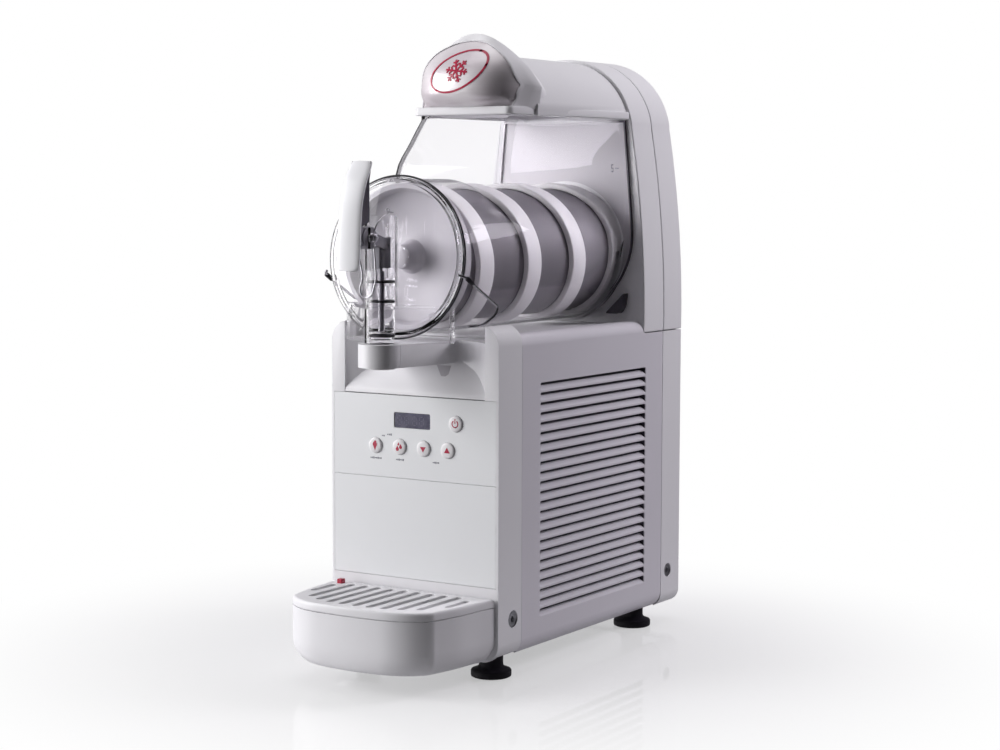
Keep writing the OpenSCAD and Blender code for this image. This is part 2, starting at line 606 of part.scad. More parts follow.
// ---- cooling ----
module compressor() place() color("dimgray") translate([-20, 215, 24.3]) {
  cylinder(h = 118, r = 56);
  translate([0, 0, 118]) cylinder(h = 22, r1 = 56, r2 = 34);
  box(52, 78, -22, 22, 40, 90);
}
module condenser() place() color("silver") {
  for (i = [0:12]) box(-78 + i * 13, -76.4 + i * 13, 62, 96, 30, 185);
  for (z = [45:31:170]) rod_x(-80, 80, 4.2, 79, z);
}
module fan_shroud() place() color("dimgray") difference() {
  box(-80, 80, 97, 116, 26, 188);
  box(-77, 77, 96, 99, 30, 185);
  rod_y(95, 120, 64, 0, 108);
}
module condenser_fan() place() color("black") {
  rod_y(102, 114, 16, 0, 108);
  for (a = [0:72:288]) translate([0, 108, 108]) rotate([0, a, 0]) rotate([28, 0, 0]) translate([14, -1, -12])
    cube([42, 2, 24]);
}
module fan_motor() place() color("dimgray") {
  rod_y(115.4, 148, 24, 0, 108);
  box(-66, 66, 140, 144, 102, 114);
  for (s = [-1, 1]) box(s < 0 ? -70 : 62, s < 0 ? -62 : 70, 116.3, 144, 102, 114);
}
module power_inlet() place() color("black") difference() {
  union() {
    rod_y(376, 381.6, 9, 55, 62);
    rod_y(372, 378.6, 12, 55, 62, 6);
  }
  rod_y(360, 390, 4, 55, 62);
}

base_pan();
chassis_frame();
front_bezel();
side_panel_right();
side_panel_left();
top_deck();
rear_cover();
hood_front();
hood_back();
spout_console();
nozzle();
control_panel();
lower_front_panel();
display_window();
display_module();
control_board();
power_button();
cone_button();
drops_button();
down_button();
up_button();
button_icons();
drip_tray();
drip_grid();
tray_float();
bowl();
front_cover();
cover_seal();
bowl_gasket();
latch_right();
latch_left();
tap_piston();
piston_rod();
piston_seals();
tap_handle();
handle_pin();
link_pin();
tap_spring();
lid();
visor_plate();
visor_emblem();
evaporator_drum();
auger();
drive_shaft();
shaft_seal();
gearmotor();
bowl_stops();
compressor();
condenser();
fan_shroud();
fan_motor();
condenser_fan();
power_inlet();
foot_pads();
foot_studs();
panel_screws();
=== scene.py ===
import bpy
import bmesh
import json
from math import sin, cos, pi, radians, sqrt, atan2, hypot
from mathutils import Vector, Matrix

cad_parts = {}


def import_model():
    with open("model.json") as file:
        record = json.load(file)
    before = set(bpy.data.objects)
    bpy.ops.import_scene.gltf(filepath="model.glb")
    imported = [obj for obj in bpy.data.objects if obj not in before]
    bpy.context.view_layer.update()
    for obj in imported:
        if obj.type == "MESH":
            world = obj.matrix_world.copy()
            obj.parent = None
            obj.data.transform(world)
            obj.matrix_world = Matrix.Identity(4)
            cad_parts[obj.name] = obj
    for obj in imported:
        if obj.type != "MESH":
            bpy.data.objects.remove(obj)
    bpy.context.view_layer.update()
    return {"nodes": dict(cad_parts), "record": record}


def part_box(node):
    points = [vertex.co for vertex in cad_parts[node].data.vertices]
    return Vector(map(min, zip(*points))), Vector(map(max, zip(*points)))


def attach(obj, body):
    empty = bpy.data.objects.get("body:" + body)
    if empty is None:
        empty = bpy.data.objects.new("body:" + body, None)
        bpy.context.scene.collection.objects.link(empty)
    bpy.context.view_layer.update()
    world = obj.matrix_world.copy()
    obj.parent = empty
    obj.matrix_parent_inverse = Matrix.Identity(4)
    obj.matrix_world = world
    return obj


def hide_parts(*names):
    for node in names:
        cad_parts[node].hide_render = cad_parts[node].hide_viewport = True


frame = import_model()
NODES = frame["nodes"]
scene = bpy.context.scene

# Work is in millimetres with Y = 0 on the body's front face, as in the part's source.
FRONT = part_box("front_bezel")[0].y  # in metres
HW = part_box("front_bezel")[1].x * 1000  # half the body's width
DEPTH = (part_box("rear_cover")[1].y - FRONT) * 1000
REACH = (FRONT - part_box("drip_tray")[0].y) * 1000  # how far the tray stands out of the front
BARREL_Z = 416.0  # height of the bowl's axis
BARREL_R, BORE_R = 76.2, 73.2  # outside and inside of its barrel
TAP_Y = -54.5  # the tap's upright axis
PIVOT = (-84.0, 436.0)  # Y and Z of the handle's hinge
WIN = 84.0  # half the width of the surround's window
PANEL_W = 97.2  # half the width of the front panels
NOSE_Z = 310.5  # underside of the niche's nose
TILT = radians(3.6)  # lean of the front cover
COVER_Y = -28  # where its joint crosses the bowl's axis
ARCH_Z = 538.4  # centre of the hood's and the lid's arch
HOOD_R, LID_R = 84.6, 81.6
SIDE_FRONT, SIDE_BACK = 43.7, 338.6  # ends of the side panels
REAR_FRONT = 339.4  # front edge of the rear mouldings
WALL_Y = 293.3  # back of the bowl's well, just in front of the hood
LID_Z = 557.0  # the lid's lower edge
WALL = 3  # thickness of the mouldings


def P(x, y, z):
    """A point in Blender's metres from one in this script's millimetres."""
    return Vector((x / 1000, y / 1000 + FRONT, z / 1000))


# ---------------- camera
YAW, PITCH, ROLL = radians(32.119), radians(5.096), radians(0.170)
EYE = (1181.71, -1721.0, 484.95)
LENS, SENSOR = 76.13, 36
FAR = 60


def make_camera():
    ahead = Vector((-sin(YAW) * cos(PITCH), cos(YAW) * cos(PITCH), -sin(PITCH)))
    level = Vector((cos(YAW), sin(YAW), 0))
    above = level.cross(ahead)
    right = level * cos(ROLL) + above * sin(ROLL)
    up = above * cos(ROLL) - level * sin(ROLL)
    cam = bpy.data.cameras.new("camera")
    cam.lens, cam.sensor_width, cam.clip_end = LENS, SENSOR, FAR
    ob = bpy.data.objects.new("camera", cam)
    scene.collection.objects.link(ob)
    m = Matrix((right, up, -ahead)).transposed().to_4x4()
    m.translation = P(*EYE)
    ob.matrix_world = m
    scene.camera = ob


make_camera()


# ---------------- shapes
def arc(cx, cz, r, a0, a1, n=12):
    """Points on a circle from a0 to a1 degrees."""
    return [(cx + r * cos(radians(a0 + (a1 - a0) * i / n)), cz + r * sin(radians(a0 + (a1 - a0) * i / n)))
            for i in range(n + 1)]


def both(p):
    """A right half-outline with its mirror image."""
    return list(p) + [(-x, z) for x, z in reversed(p)]


def spline(pts, n=8, closed=False):
    """Catmull-Rom curve through points of any dimension."""
    out, m = [], len(pts)
    for i in range(m if closed else m - 1):
        a, b, c, d = [pts[(i + k) % m] if closed else pts[min(max(i + k, 0), m - 1)] for k in (-1, 0, 1, 2)]
        for j in range(n):
            t = j / n
            out.append(tuple(0.5 * (2 * q + (r - p) * t + (2 * p - 5 * q + 4 * r - s) * t * t
                             + (3 * q - p - 3 * r + s) * t ** 3) for p, q, r, s in zip(a, b, c, d)))
    return out if closed else out + [tuple(pts[-1])]


def soften(pts, r, n=6, closed=False):
    """Rounds the corners of a polyline in 2-D or 3-D."""
    v = [Vector(p) for p in pts]
    out, m = ([] if closed else [v[0]]), len(v)
    for i in (range(m) if closed else range(1, m - 1)):
        a, b, c = v[i - 1], v[i], v[(i + 1) % m]
        la, lc = (a - b).length, (c - b).length
        d = min(r, la * 0.48, lc * 0.48)
        p, q = b + (a - b) * (d / la), b + (c - b) * (d / lc)
        out += [p * (1 - t) ** 2 + b * 2 * t * (1 - t) + q * t * t for t in [k / n for k in range(n + 1)]]
    if not closed:
        out.append(v[-1])
    return [tuple(p) for p in out]


def merge(*geos):
    v, f = [], []
    for gv, gf in geos:
        k = len(v)
        v += gv
        f += [[i + k for i in q] for q in gf]
    return v, f


def slab(one, other):
    """A solid between two outlines with the same number of points."""
    n = len(one)
    f = [list(range(n)), list(range(2 * n - 1, n - 1, -1))]
    return one + other, f + [[i, (i + 1) % n, n + (i + 1) % n, n + i] for i in range(n)]


def prism(pts, axis, lo, hi):
    to = {"x": lambda p, t: (t, p[0], p[1]), "y": lambda p, t: (p[0], t, p[1]),
          "z": lambda p, t: (p[0], p[1], t)}[axis]
    return slab([to(p, lo) for p in pts], [to(p, hi) for p in pts])


def box(x0, x1, y0, y1, z0, z1):
    return prism([(x0, y0), (x1, y0), (x1, y1), (x0, y1)], "z", z0, z1)


def loft(rings, caps=True, closed=False):
    """Skin over rings with the same number of points."""
    n, m = len(rings[0]), len(rings)
    v = [tuple(p) for r in rings for p in r]
    f = []
    for k in range(m if closed else m - 1):
        a, b = k * n, ((k + 1) % m) * n
        f += [[a + i, a + (i + 1) % n, b + (i + 1) % n, b + i] for i in range(n)]
    if caps and not closed:
        f += [list(range(n)), list(range((m - 1) * n, m * n))]
    return v, f


def lathe(profile, axis="y", at=(0, 0, 0), n=96, closed=False):
    """Turns (radius, height) points round an axis. A radius of 0 at an end closes it."""
    to = {"y": lambda r, t, a: (r * cos(a), t, r * sin(a)), "z": lambda r, t, a: (r * cos(a), r * sin(a), t),
          "x": lambda r, t, a: (t, r * cos(a), r * sin(a))}[axis]
    v, f, rows = [], [], []
    for r, t in profile:
        if r < 1e-6:
            rows.append([len(v)])
            v.append(to(0, t, 0))
        else:
            rows.append(list(range(len(v), len(v) + n)))
            v += [to(r, t, 2 * pi * i / n) for i in range(n)]
    for k in range(len(rows) if closed else len(rows) - 1):
        a, b = rows[k], rows[(k + 1) % len(rows)]
        for i in range(n):
            j = (i + 1) % n
            q = [a[i % len(a)], a[j % len(a)], b[j % len(b)], b[i % len(b)]]
            q = [x for c, x in enumerate(q) if x not in q[:c]]
            if len(q) > 2:
                f.append(q)
    if not closed:
        for row in (rows[0], rows[-1]):
            if len(row) > 1:
                f.append(row)
    return [(x + at[0], y + at[1], z + at[2]) for x, y, z in v], f


def rod(axis, lo, hi, r, at, n=48, ease=0.0):
    """Round bar along an axis, with its ends eased."""
    e = min(ease, r * 0.9, (hi - lo) / 2)
    prof = [(r - e, lo), (r - e * 0.3, lo + e * 0.3), (r, lo + e), (r, hi - e), (r - e * 0.3, hi - e * 0.3),
            (r - e, hi)] if e else [(r, lo), (r, hi)]
    at3 = {"x": (0, at[0], at[1]), "y": (at[0], 0, at[1]), "z": (at[0], at[1], 0)}[axis]
    return lathe([(0, lo)] + prof + [(0, hi)], axis, at3, n)


def tube(path, r, n=12, caps=True):
    """Round wire along a path. r is a number or one for each point."""
    v = [Vector(p) for p in path]
    tang = [(v[min(i + 1, len(v) - 1)] - v[max(i - 1, 0)]).normalized() for i in range(len(v))]
    side = tang[0].orthogonal().normalized()
    rings = []
    for i, (p, t) in enumerate(zip(v, tang)):
        side = (side - t * side.dot(t)).normalized()
        up = t.cross(side)
        q = r[i] if isinstance(r, (list, tuple)) else r
        rings.append([tuple(p + (side * cos(2 * pi * k / n) + up * sin(2 * pi * k / n)) * q)
                      for k in range(n)])
    if caps:
        for end, t, rr in ((0, tang[0], -1), (-1, tang[-1], 1)):
            q = r[end] if isinstance(r, (list, tuple)) else r
            c = v[end] + t * (rr * q * 0.5)
            ring = [tuple(c + (Vector(p) - v[end]) * 0.55) for p in rings[end]]
            rings = [ring] + rings if end == 0 else rings + [ring]
    return loft(rings)


def on_barrel(profile, n=128, closed=False):
    return lathe(profile, "y", (0, 0, BARREL_Z), n, closed)


def on_tap(profile, n=64, closed=False):
    return lathe(profile, "z", (0, TAP_Y, 0), n, closed)


def tilted(geo):
    """From the front cover's own frame, whose Y is its axis, to the machine's."""
    c, s = cos(TILT), sin(TILT)
    v = [(p.x, COVER_Y + p.y * c + p.z * s, BARREL_Z - p.y * s + p.z * c) for p in map(Vector, geo[0])]
    return v, geo[1]


def mirror(geo):
    """The same solid on the machine's other side."""
    return [(-x, y, z) for x, y, z in geo[0]], [list(reversed(f)) for f in geo[1]]


def mesh_from(name, geo):
    me = bpy.data.meshes.new(name)
    me.from_pydata([P(*p) for p in geo[0]], [], geo[1])
    bm = bmesh.new()
    bm.from_mesh(me)
    bmesh.ops.remove_doubles(bm, verts=bm.verts, dist=1e-6)
    bmesh.ops.recalc_face_normals(bm, faces=bm.faces)
    bm.to_mesh(me)
    bm.free()
    return me


def obj(name, geo):
    o = bpy.data.objects.new(name, mesh_from(name, geo))
    scene.collection.objects.link(o)
    return o


def settle(o):
    """Applies the object's modifiers."""
    dg = bpy.context.evaluated_depsgraph_get()
    me = bpy.data.meshes.new_from_object(o.evaluated_get(dg))
    o.modifiers.clear()
    o.data = me
    return o


def boolean(o, geo, op, tolerant=False):
    other = obj("tool", geo)
    m = o.modifiers.new("b", "BOOLEAN")
    m.operation, m.solver, m.object = op, "EXACT", other
    m.use_self, m.use_hole_tolerant = tolerant, tolerant
    settle(o)
    bpy.data.objects.remove(other)


def piece(name, geo, body, mat, add=(), cut=(), then=(), tolerant=False, bevel=0.0, segs=3, angle=32,
          sharp=34, stands=()):
    """One visible piece: its solids joined, cut, and then joined or cut again in turn, then its bevel,
    smooth shading, material, body and CAD nodes."""
    o = obj(name, geo)
    for g in add:
        boolean(o, g, "UNION")
    for g in cut:
        boolean(o, g, "DIFFERENCE")
    for g, op in then:
        boolean(o, g, op, tolerant)
    if bevel:
        m = o.modifiers.new("v", "BEVEL")
        m.width, m.segments, m.limit_method, m.angle_limit = bevel / 1000, segs, "ANGLE", radians(angle)
        m.use_clamp_overlap, m.miter_outer = True, "MITER_ARC"
        settle(o)
    me = o.data
    me.polygons.foreach_set("use_smooth", [True] * len(me.polygons))
    me.set_sharp_from_angle(angle=radians(sharp))
    if bevel:
        o.modifiers.new("n", "WEIGHTED_NORMAL").keep_sharp = True
        settle(o)
    o.data.materials.clear()
    o.data.materials.append(mat)
    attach(o, body)
    if stands:
        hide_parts(*([stands] if isinstance(stands, str) else stands))
    return o


# ---------------- materials
def lin(r, g, b):
    return tuple(((c / 255 + 0.055) / 1.055) ** 2.4 if c > 10 else c / 255 / 12.92
                 for c in (r, g, b)) + (1.0,)


class Nodes:
    """Short names for building a node tree."""

    def __init__(self, tree):
        self.t = tree
        self.t.nodes.clear()

    def n(self, kind, **kw):
        node = self.t.nodes.new(kind)
        for k, v in kw.items():
            setattr(node, k, v)
        return node

    def link(self, a, b):
        self.t.links.new(a, b)

    def mix(self, share, first, second):
        m = self.n("ShaderNodeMixShader")
        for source, socket in zip((share, first, second), m.inputs):
            self.link(source, socket)
        return m.outputs[0]

    def math(self, operation, a, b):
        m = self.n("ShaderNodeMath", operation=operation)
        for v, socket in zip((a, b), m.inputs):
            if isinstance(v, float):
                socket.default_value = v
            else:
                self.link(v, socket)
        return m.outputs[0]

    def spread(self, fac, lo, hi, low=0.3, high=0.7, smooth=False):
        """Maps low..high to lo..hi."""
        r = self.n("ShaderNodeMapRange", interpolation_type="SMOOTHSTEP" if smooth else "LINEAR")
        for k, v in (("From Min", low), ("From Max", high), ("To Min", lo), ("To Max", hi)):
            r.inputs[k].default_value = v
        self.link(fac, r.inputs["Value"])
        return r.outputs[0]


class Mat(Nodes):
    """A material round one principled shader, in the object's own coordinates."""

    def __init__(self, name, **sockets):
        self.m = bpy.data.materials.new(name)
        self.m.use_nodes = True
        super().__init__(self.m.node_tree)
        self.out = self.n("ShaderNodeOutputMaterial")
        self.b = self.n("ShaderNodeBsdfPrincipled")
        self.link(self.b.outputs[0], self.out.inputs["Surface"])
        for k, v in sockets.items():
            self.b.inputs[k.replace("_", " ")].default_value = v
        self.pos = self.n("ShaderNodeTexCoord").outputs["Object"]

    def noise(self, scale, detail=2.0, stretch=None, rough=0.5):
        src = self.pos
        if stretch:
            mp = self.n("ShaderNodeMapping")
            mp.inputs["Scale"].default_value = stretch
            self.link(src, mp.inputs["Vector"])
            src = mp.outputs[0]
        t = self.n("ShaderNodeTexNoise")
        t.inputs["Scale"].default_value, t.inputs["Detail"].default_value = scale, detail
        t.inputs["Roughness"].default_value = rough
        self.link(src, t.inputs["Vector"])
        return t.outputs["Fac"]

    def ramp(self, fac, stops):
        r = self.n("ShaderNodeValToRGB")
        e = r.color_ramp.elements
        e[0].position, e[0].color = stops[0]
        e[1].position, e[1].color = stops[-1]
        for p, c in stops[1:-1]:
            e.new(p).color = c
        self.link(fac, r.inputs[0])
        return r.outputs[0]

    def bump(self, fac, dist, strength=1.0):
        b = self.n("ShaderNodeBump")
        b.inputs["Strength"].default_value, b.inputs["Distance"].default_value = strength, dist
        self.link(fac, b.inputs["Height"])
        return b.outputs[0]

    def blend(self, share, first, second):
        """Mix of two colours, by a number or a node."""
        m = self.n("ShaderNodeMix", data_type="RGBA")
        if isinstance(share, float):
            m.inputs["Factor"].default_value = share
        else:
            self.link(share, m.inputs["Factor"])
        self.link(first, m.inputs["A"])
        self.link(second, m.inputs["B"])
        return m.outputs["Result"]

    def finish(self, colour=None, rough=None, normal=None):
        for s, k in ((colour, "Base Color"), (rough, "Roughness"), (normal, "Normal")):
            if s is not None:
                self.link(s, self.b.inputs[k])
        return self.m


def scaled(c, k):
    return tuple(min(1.0, v * k) for v in c[:3]) + (1.0,)


def plastic(name, col, rough, vary=0.03, grain=1400, depth=4e-6, spread=0.03, spec=0.5, coat=0.0):
    """Moulded plastic or paint: slight mottling, a fine skin in the bump and an uneven gloss."""
    m = Mat(name, Specular_IOR_Level=spec, Coat_Weight=coat, Coat_Roughness=0.08)
    big = m.noise(9.0, 3)
    colour = m.ramp(big, [(0.05, scaled(col, 1 - vary)), (0.95, scaled(col, 1 + vary))])
    r = m.spread(m.noise(26, 2), max(0.02, rough - spread), rough + spread, 0.1, 0.9)
    return m.finish(colour, r, m.bump(m.noise(grain, 2), depth, 0.5))


def metal(name, col, rough, stretch=(8, 8, 8), scale=60, depth=3e-6, vary=0.08, aniso=0.0, metallic=1.0):
    """Brushed or drawn metal: streaks across the brushing direction."""
    m = Mat(name, Metallic=metallic, Anisotropic=aniso)
    s = m.noise(scale, 4, stretch, 0.65)
    colour = m.ramp(s, [(0.25, scaled(col, 1 - vary)), (0.75, scaled(col, 1 + vary))])
    return m.finish(colour, m.spread(s, rough * 0.75, rough * 1.3), m.bump(s, depth, 0.5))


def clear(name, tint, rough, ior, shadow, gloss):
    """Clear moulding with fine scuffs. Rays from lamps pass straight through."""
    m = Mat(name, Transmission_Weight=1.0, IOR=ior, Coat_Weight=gloss, Coat_Roughness=0.01, Coat_IOR=1.5)
    m.b.inputs["Base Color"].default_value = tint
    r = m.spread(m.noise(45, 4), rough, rough * 3.0)
    m.finish(None, r, m.bump(m.noise(26, 1), 1.2e-5, 0.25))
    through = m.n("ShaderNodeBsdfTransparent")
    through.inputs[0].default_value = shadow
    shaded = m.n("ShaderNodeLightPath").outputs["Is Shadow Ray"]
    m.link(m.mix(shaded, m.b.outputs[0], through.outputs[0]), m.out.inputs["Surface"])
    return m.m


WHITE = plastic("white_gloss", lin(233, 232, 235), 0.34, vary=0.012, depth=3e-6, spec=0.32)
PANEL = plastic("white_panel", lin(233, 234, 236), 0.36, vary=0.012, depth=5e-6)
PAINT = plastic("powder_coat", lin(219, 216, 223), 0.40, vary=0.02, grain=1900, depth=1.6e-5, spread=0.05)
SATIN = plastic("satin_white", lin(228, 226, 228), 0.42, vary=0.015, grain=2200)
SHADED = plastic("shaded_wall", lin(190, 187, 192), 0.5, vary=0.012, depth=3e-6, spec=0.15)
# painted shade: the auger plate's white satin, darker than SATIN for the shade that it lies in inside the barrel
PLATE_PAINTED_SHADE = plastic("satin_plate_painted_shade", lin(181, 178, 184), 0.42, vary=0.015, grain=2200, spec=0.25)
HANDLE = plastic("handle_shell", lin(238, 238, 241), 0.34, vary=0.015, grain=2200, depth=6e-6)
DARK = plastic("dark_grey_plastic", lin(70, 66, 76), 0.42, vary=0.06, grain=1500, depth=1.2e-5)
KNUCKLE = plastic("grey_knuckle", lin(122, 120, 128), 0.34, vary=0.05, grain=1500, depth=8e-6)
BLACK = plastic("black_plastic", lin(30, 28, 33), 0.38, vary=0.10, grain=1300, depth=1.4e-5)
RUBBER = plastic("black_rubber", lin(26, 23, 30), 0.62, vary=0.14, grain=900, depth=3e-5, spec=0.35)
GREY_RUBBER = plastic("grey_rubber", lin(92, 86, 98), 0.58, vary=0.08, grain=900, depth=2e-5, spec=0.35)
RED = plastic("red_print", lin(176, 22, 62), 0.30, vary=0.06, grain=1500)
FLOAT = plastic("red_float", lin(168, 8, 52), 0.28, vary=0.08, grain=1500)
PRINT = plastic("grey_print", lin(120, 120, 130), 0.5, vary=0.08)
WIRE = metal("drawn_wire", (0.50, 0.49, 0.52, 1), 0.22, (1, 1, 1), 500, 2e-6)
SCREW = metal("screw_grey", (0.42, 0.42, 0.45, 1), 0.34, (1, 1, 1), 700, 4e-6, 0.12)
SHEET = metal("galvanised_sheet", (0.62, 0.63, 0.65, 1), 0.38, (1, 1, 1), 90, 4e-6, 0.16)
FIN = metal("fin_aluminium", (0.78, 0.78, 0.80, 1), 0.30, (1, 1, 60), 30, 3e-6, 0.10)
DRUM = metal("drum_steel", (0.215, 0.20, 0.225, 1), 0.6, (1.2, 260, 1.2), 9, 5e-6, 0.10, 0.2, 0.25)
BOARD = plastic("circuit_board", lin(24, 84, 58), 0.34, vary=0.12, grain=700, coat=0.5)
CLEAR = clear("clear_bowl", (0.985, 0.98, 0.99, 1), 0.008, 1.14, (0.97, 0.965, 0.975, 1), 0.08)
CLEAR_TAP = clear("clear_cover", (0.98, 0.975, 0.985, 1), 0.010, 1.17, (0.97, 0.965, 0.975, 1), 0.35)
GHOST = plastic("display_segments", lin(98, 96, 118), 0.2, vary=0.05)
MILKY = plastic("milky_plastic", lin(226, 226, 230), 0.30, vary=0.02)


def film():
    m = Mat("silver_film", Metallic=0.25, Coat_Weight=0.5, Coat_Roughness=0.06)
    s = m.noise(7, 4, (1, 1, 60), 0.6)
    cloud = m.noise(22, 2)
    c = m.blend(0.6, m.ramp(s, [(0.3, (0.70, 0.65, 0.68, 1)), (0.7, (0.78, 0.74, 0.77, 1))]),
                m.ramp(cloud, [(0.35, (0.62, 0.55, 0.59, 1)), (0.65, (0.86, 0.82, 0.84, 1))]))
    return m.finish(c, m.spread(cloud, 0.34, 0.44), m.bump(s, 1e-6, 0.4))


def lcd():
    m = Mat("slate_window", Coat_Weight=0.6, Coat_Roughness=0.05)
    c = m.ramp(m.noise(160, 2), [(0.3, lin(62, 60, 82)), (0.7, lin(90, 88, 108))])
    return m.finish(c, m.spread(m.noise(90, 2), 0.16, 0.26), m.bump(m.noise(900, 1), 3e-6, 0.3))


def gasket_with_painted_shade():
    """Gasket with painted light and shade: dark on its right, where it lies in shade, and pale on its left, where
    it is lit behind the clear flange.
    """
    m = Mat("gasket_painted_light_and_shade", Specular_IOR_Level=0.35)
    side = m.n("ShaderNodeSeparateXYZ")
    m.link(m.pos, side.inputs[0])
    # painted light and shade by X: pale up to 45 mm right of the middle, dark from 70 mm
    step = m.spread(side.outputs["X"], 0.0, 1.0, 0.045, 0.070, True)
    wear = m.noise(60, 3)
    c = m.blend(step, m.ramp(wear, [(0.3, lin(206, 203, 208)), (0.7, lin(216, 213, 218))]),
                m.ramp(wear, [(0.3, lin(74, 69, 80)), (0.7, lin(88, 83, 94))]))
    return m.finish(c, m.spread(wear, 0.5, 0.62), m.bump(m.noise(900, 2), 1e-5, 0.5))


def black_sheet():
    m = Mat("black_paint")
    c = m.ramp(m.noise(30, 4), [(0.3, lin(24, 24, 27)), (0.7, lin(44, 43, 47))])
    return m.finish(c, m.spread(m.noise(140, 3), 0.35, 0.55), m.bump(m.noise(500, 3), 3e-5, 0.6))


FILM, LCD, GASKET_SHADE_PAINT, BLACK_PAINT = film(), lcd(), gasket_with_painted_shade(), black_sheet()
BY_SLOT = {"sheet_steel": SHEET, "white_plastic": WHITE, "white_satin": SATIN, "painted_panel": PAINT,
           "slate_window": LCD, "black_plastic": BLACK, "board_green": BOARD, "grey_print": PRINT,
           "red_plastic": FLOAT, "clear_plastic": CLEAR, "milky_plastic": MILKY, "black_rubber": RUBBER,
           "grey_rubber": GREY_RUBBER, "steel_wire": WIRE, "dark_grey": DARK, "grey_plastic": KNUCKLE,
           "silver_film": FILM, "drum_steel": DRUM, "black_paint": BLACK_PAINT, "fin_aluminium": FIN}
# the record's slot that each material answers to
SLOT_OF = {m.name: slot for slot, m in BY_SLOT.items()}
for slot, mats in {"white_plastic": (PANEL, SHADED), "white_satin": (PLATE_PAINTED_SHADE,), "grey_plastic": (HANDLE, SCREW),
                   "red_plastic": (RED,), "clear_plastic": (CLEAR_TAP,), "grey_rubber": (GASKET_SHADE_PAINT,),
                   "slate_window": (GHOST,)}.items():
    SLOT_OF.update({m.name: slot for m in mats})


# ---------------- outlines
FOOT_Z, FOOT_R, SHOULDER_Z, SHOULDER_R = 37.5, 18, 330, 20  # the surround's corner centres and radii
HOOD_Z, HOOD_TOP, BULGE = 345.4, 548, 1200  # the hood's flank, and the radius that it leans in on


def front_outline(d=0.0, n=16):
    return both(arc(HW - FOOT_R, FOOT_Z, FOOT_R - d, -90, 0, n)
                + arc(HW - SHOULDER_R, SHOULDER_Z, SHOULDER_R - d, 0, 90, n))


def hood_outline(d=0.0, low=328.0):
    side = []
    for i in range(15):
        z = HOOD_Z + i * (HOOD_TOP - HOOD_Z) / 14
        side.append((HW + 0.8 - d - (BULGE - sqrt(BULGE ** 2 - (z - HOOD_Z) ** 2)), z))
    return both([(HW + 0.6 - d, low)] + side + arc(0, ARCH_Z, HOOD_R - d, 9.5, 90, 30))


def flange_outline(d=0.0, top=556.6):
    """The bowl's rear flange: round below, with straight sides up to the lid."""
    return both(arc(0, 432.5, 87 - d, -90, 4, 40) + [(76.5 - d, top)])


TRAY_LINE = [(27, 0.9), (48.5, 3.5), (67, 10.5), (81.5, 22.5), (85.5, 33.5), (91, 59.5), (94, 89.5)]


def tray_ring(d, z, n=5):
    """The tray's plan at a height, d in from its outside."""
    right = [(x - d * 0.9, -REACH + y + d * 0.5) for x, y in TRAY_LINE]
    right += [(97 - d, -2.0 - (d if d > 1 else 0))]
    line = [(-x, y) for x, y in reversed(right)] + [(0.0, -REACH + d * 0.5)] + right
    return [(x, y, z) for x, y in spline(line, n)]


# ---------------- body
HOLES = [box(-96, 96, 6, 60, 10, 25), box(-59, -41, -1, 10, 60, 70), box(41, 59, -1, 10, 60, 70)]
HOLES += [rod("x", s * 98.5 - 6, s * 98.5 + 6, 8.6, (27.5, 60)) for s in (-1, 1)]
opening = prism([(-WIN, 270), (WIN, 270), (WIN, 400), (-WIN, 400)], "y", -1, 60)
bezel = piece("front_surround", prism(front_outline(), "y", 0, 43.3), "body", WHITE,
              cut=[prism(front_outline(WALL), "y", WALL, 50), opening] + HOLES, bevel=1.9, segs=4,
              stands="front_bezel")
# seats of the panels, cut after its edges are rounded
boolean(bezel, box(-PANEL_W - 0.05, PANEL_W + 0.05, -1, 3.1, 93.6, 277.6), "DIFFERENCE")
boolean(bezel, box(-WIN, WIN, -1, 60, 93.7, 277.8), "DIFFERENCE")
JAMB = ((0.02, 1.2), (2.4, 1.2), (2.4, 22), (0.02, 22))
jambs = [prism([(s * (WIN + x), y) for x, y in JAMB], "z", 277.7, 345) for s in (-1, 1)]
piece("surround_returns", merge(*jambs, box(-WIN, WIN, 3.2, 22, 91, 93.4)), "body", WHITE)


LOUVRES, PITCH_Z, SLOT_H, SLOT_R = 24, 9.94, 7.6, 1.6
LOUVRE_TOP, LOUVRE_Y0, LOUVRE_Y1 = 290.0, 78.8, 299.8
# a pressed blade from its foot, flush with the skin, to its free upper edge: in from the skin, and down
BLADE = [(0.1, 7.9), (0.9, 6.8), (2.9, 5.1), (5.6, 3.3)]


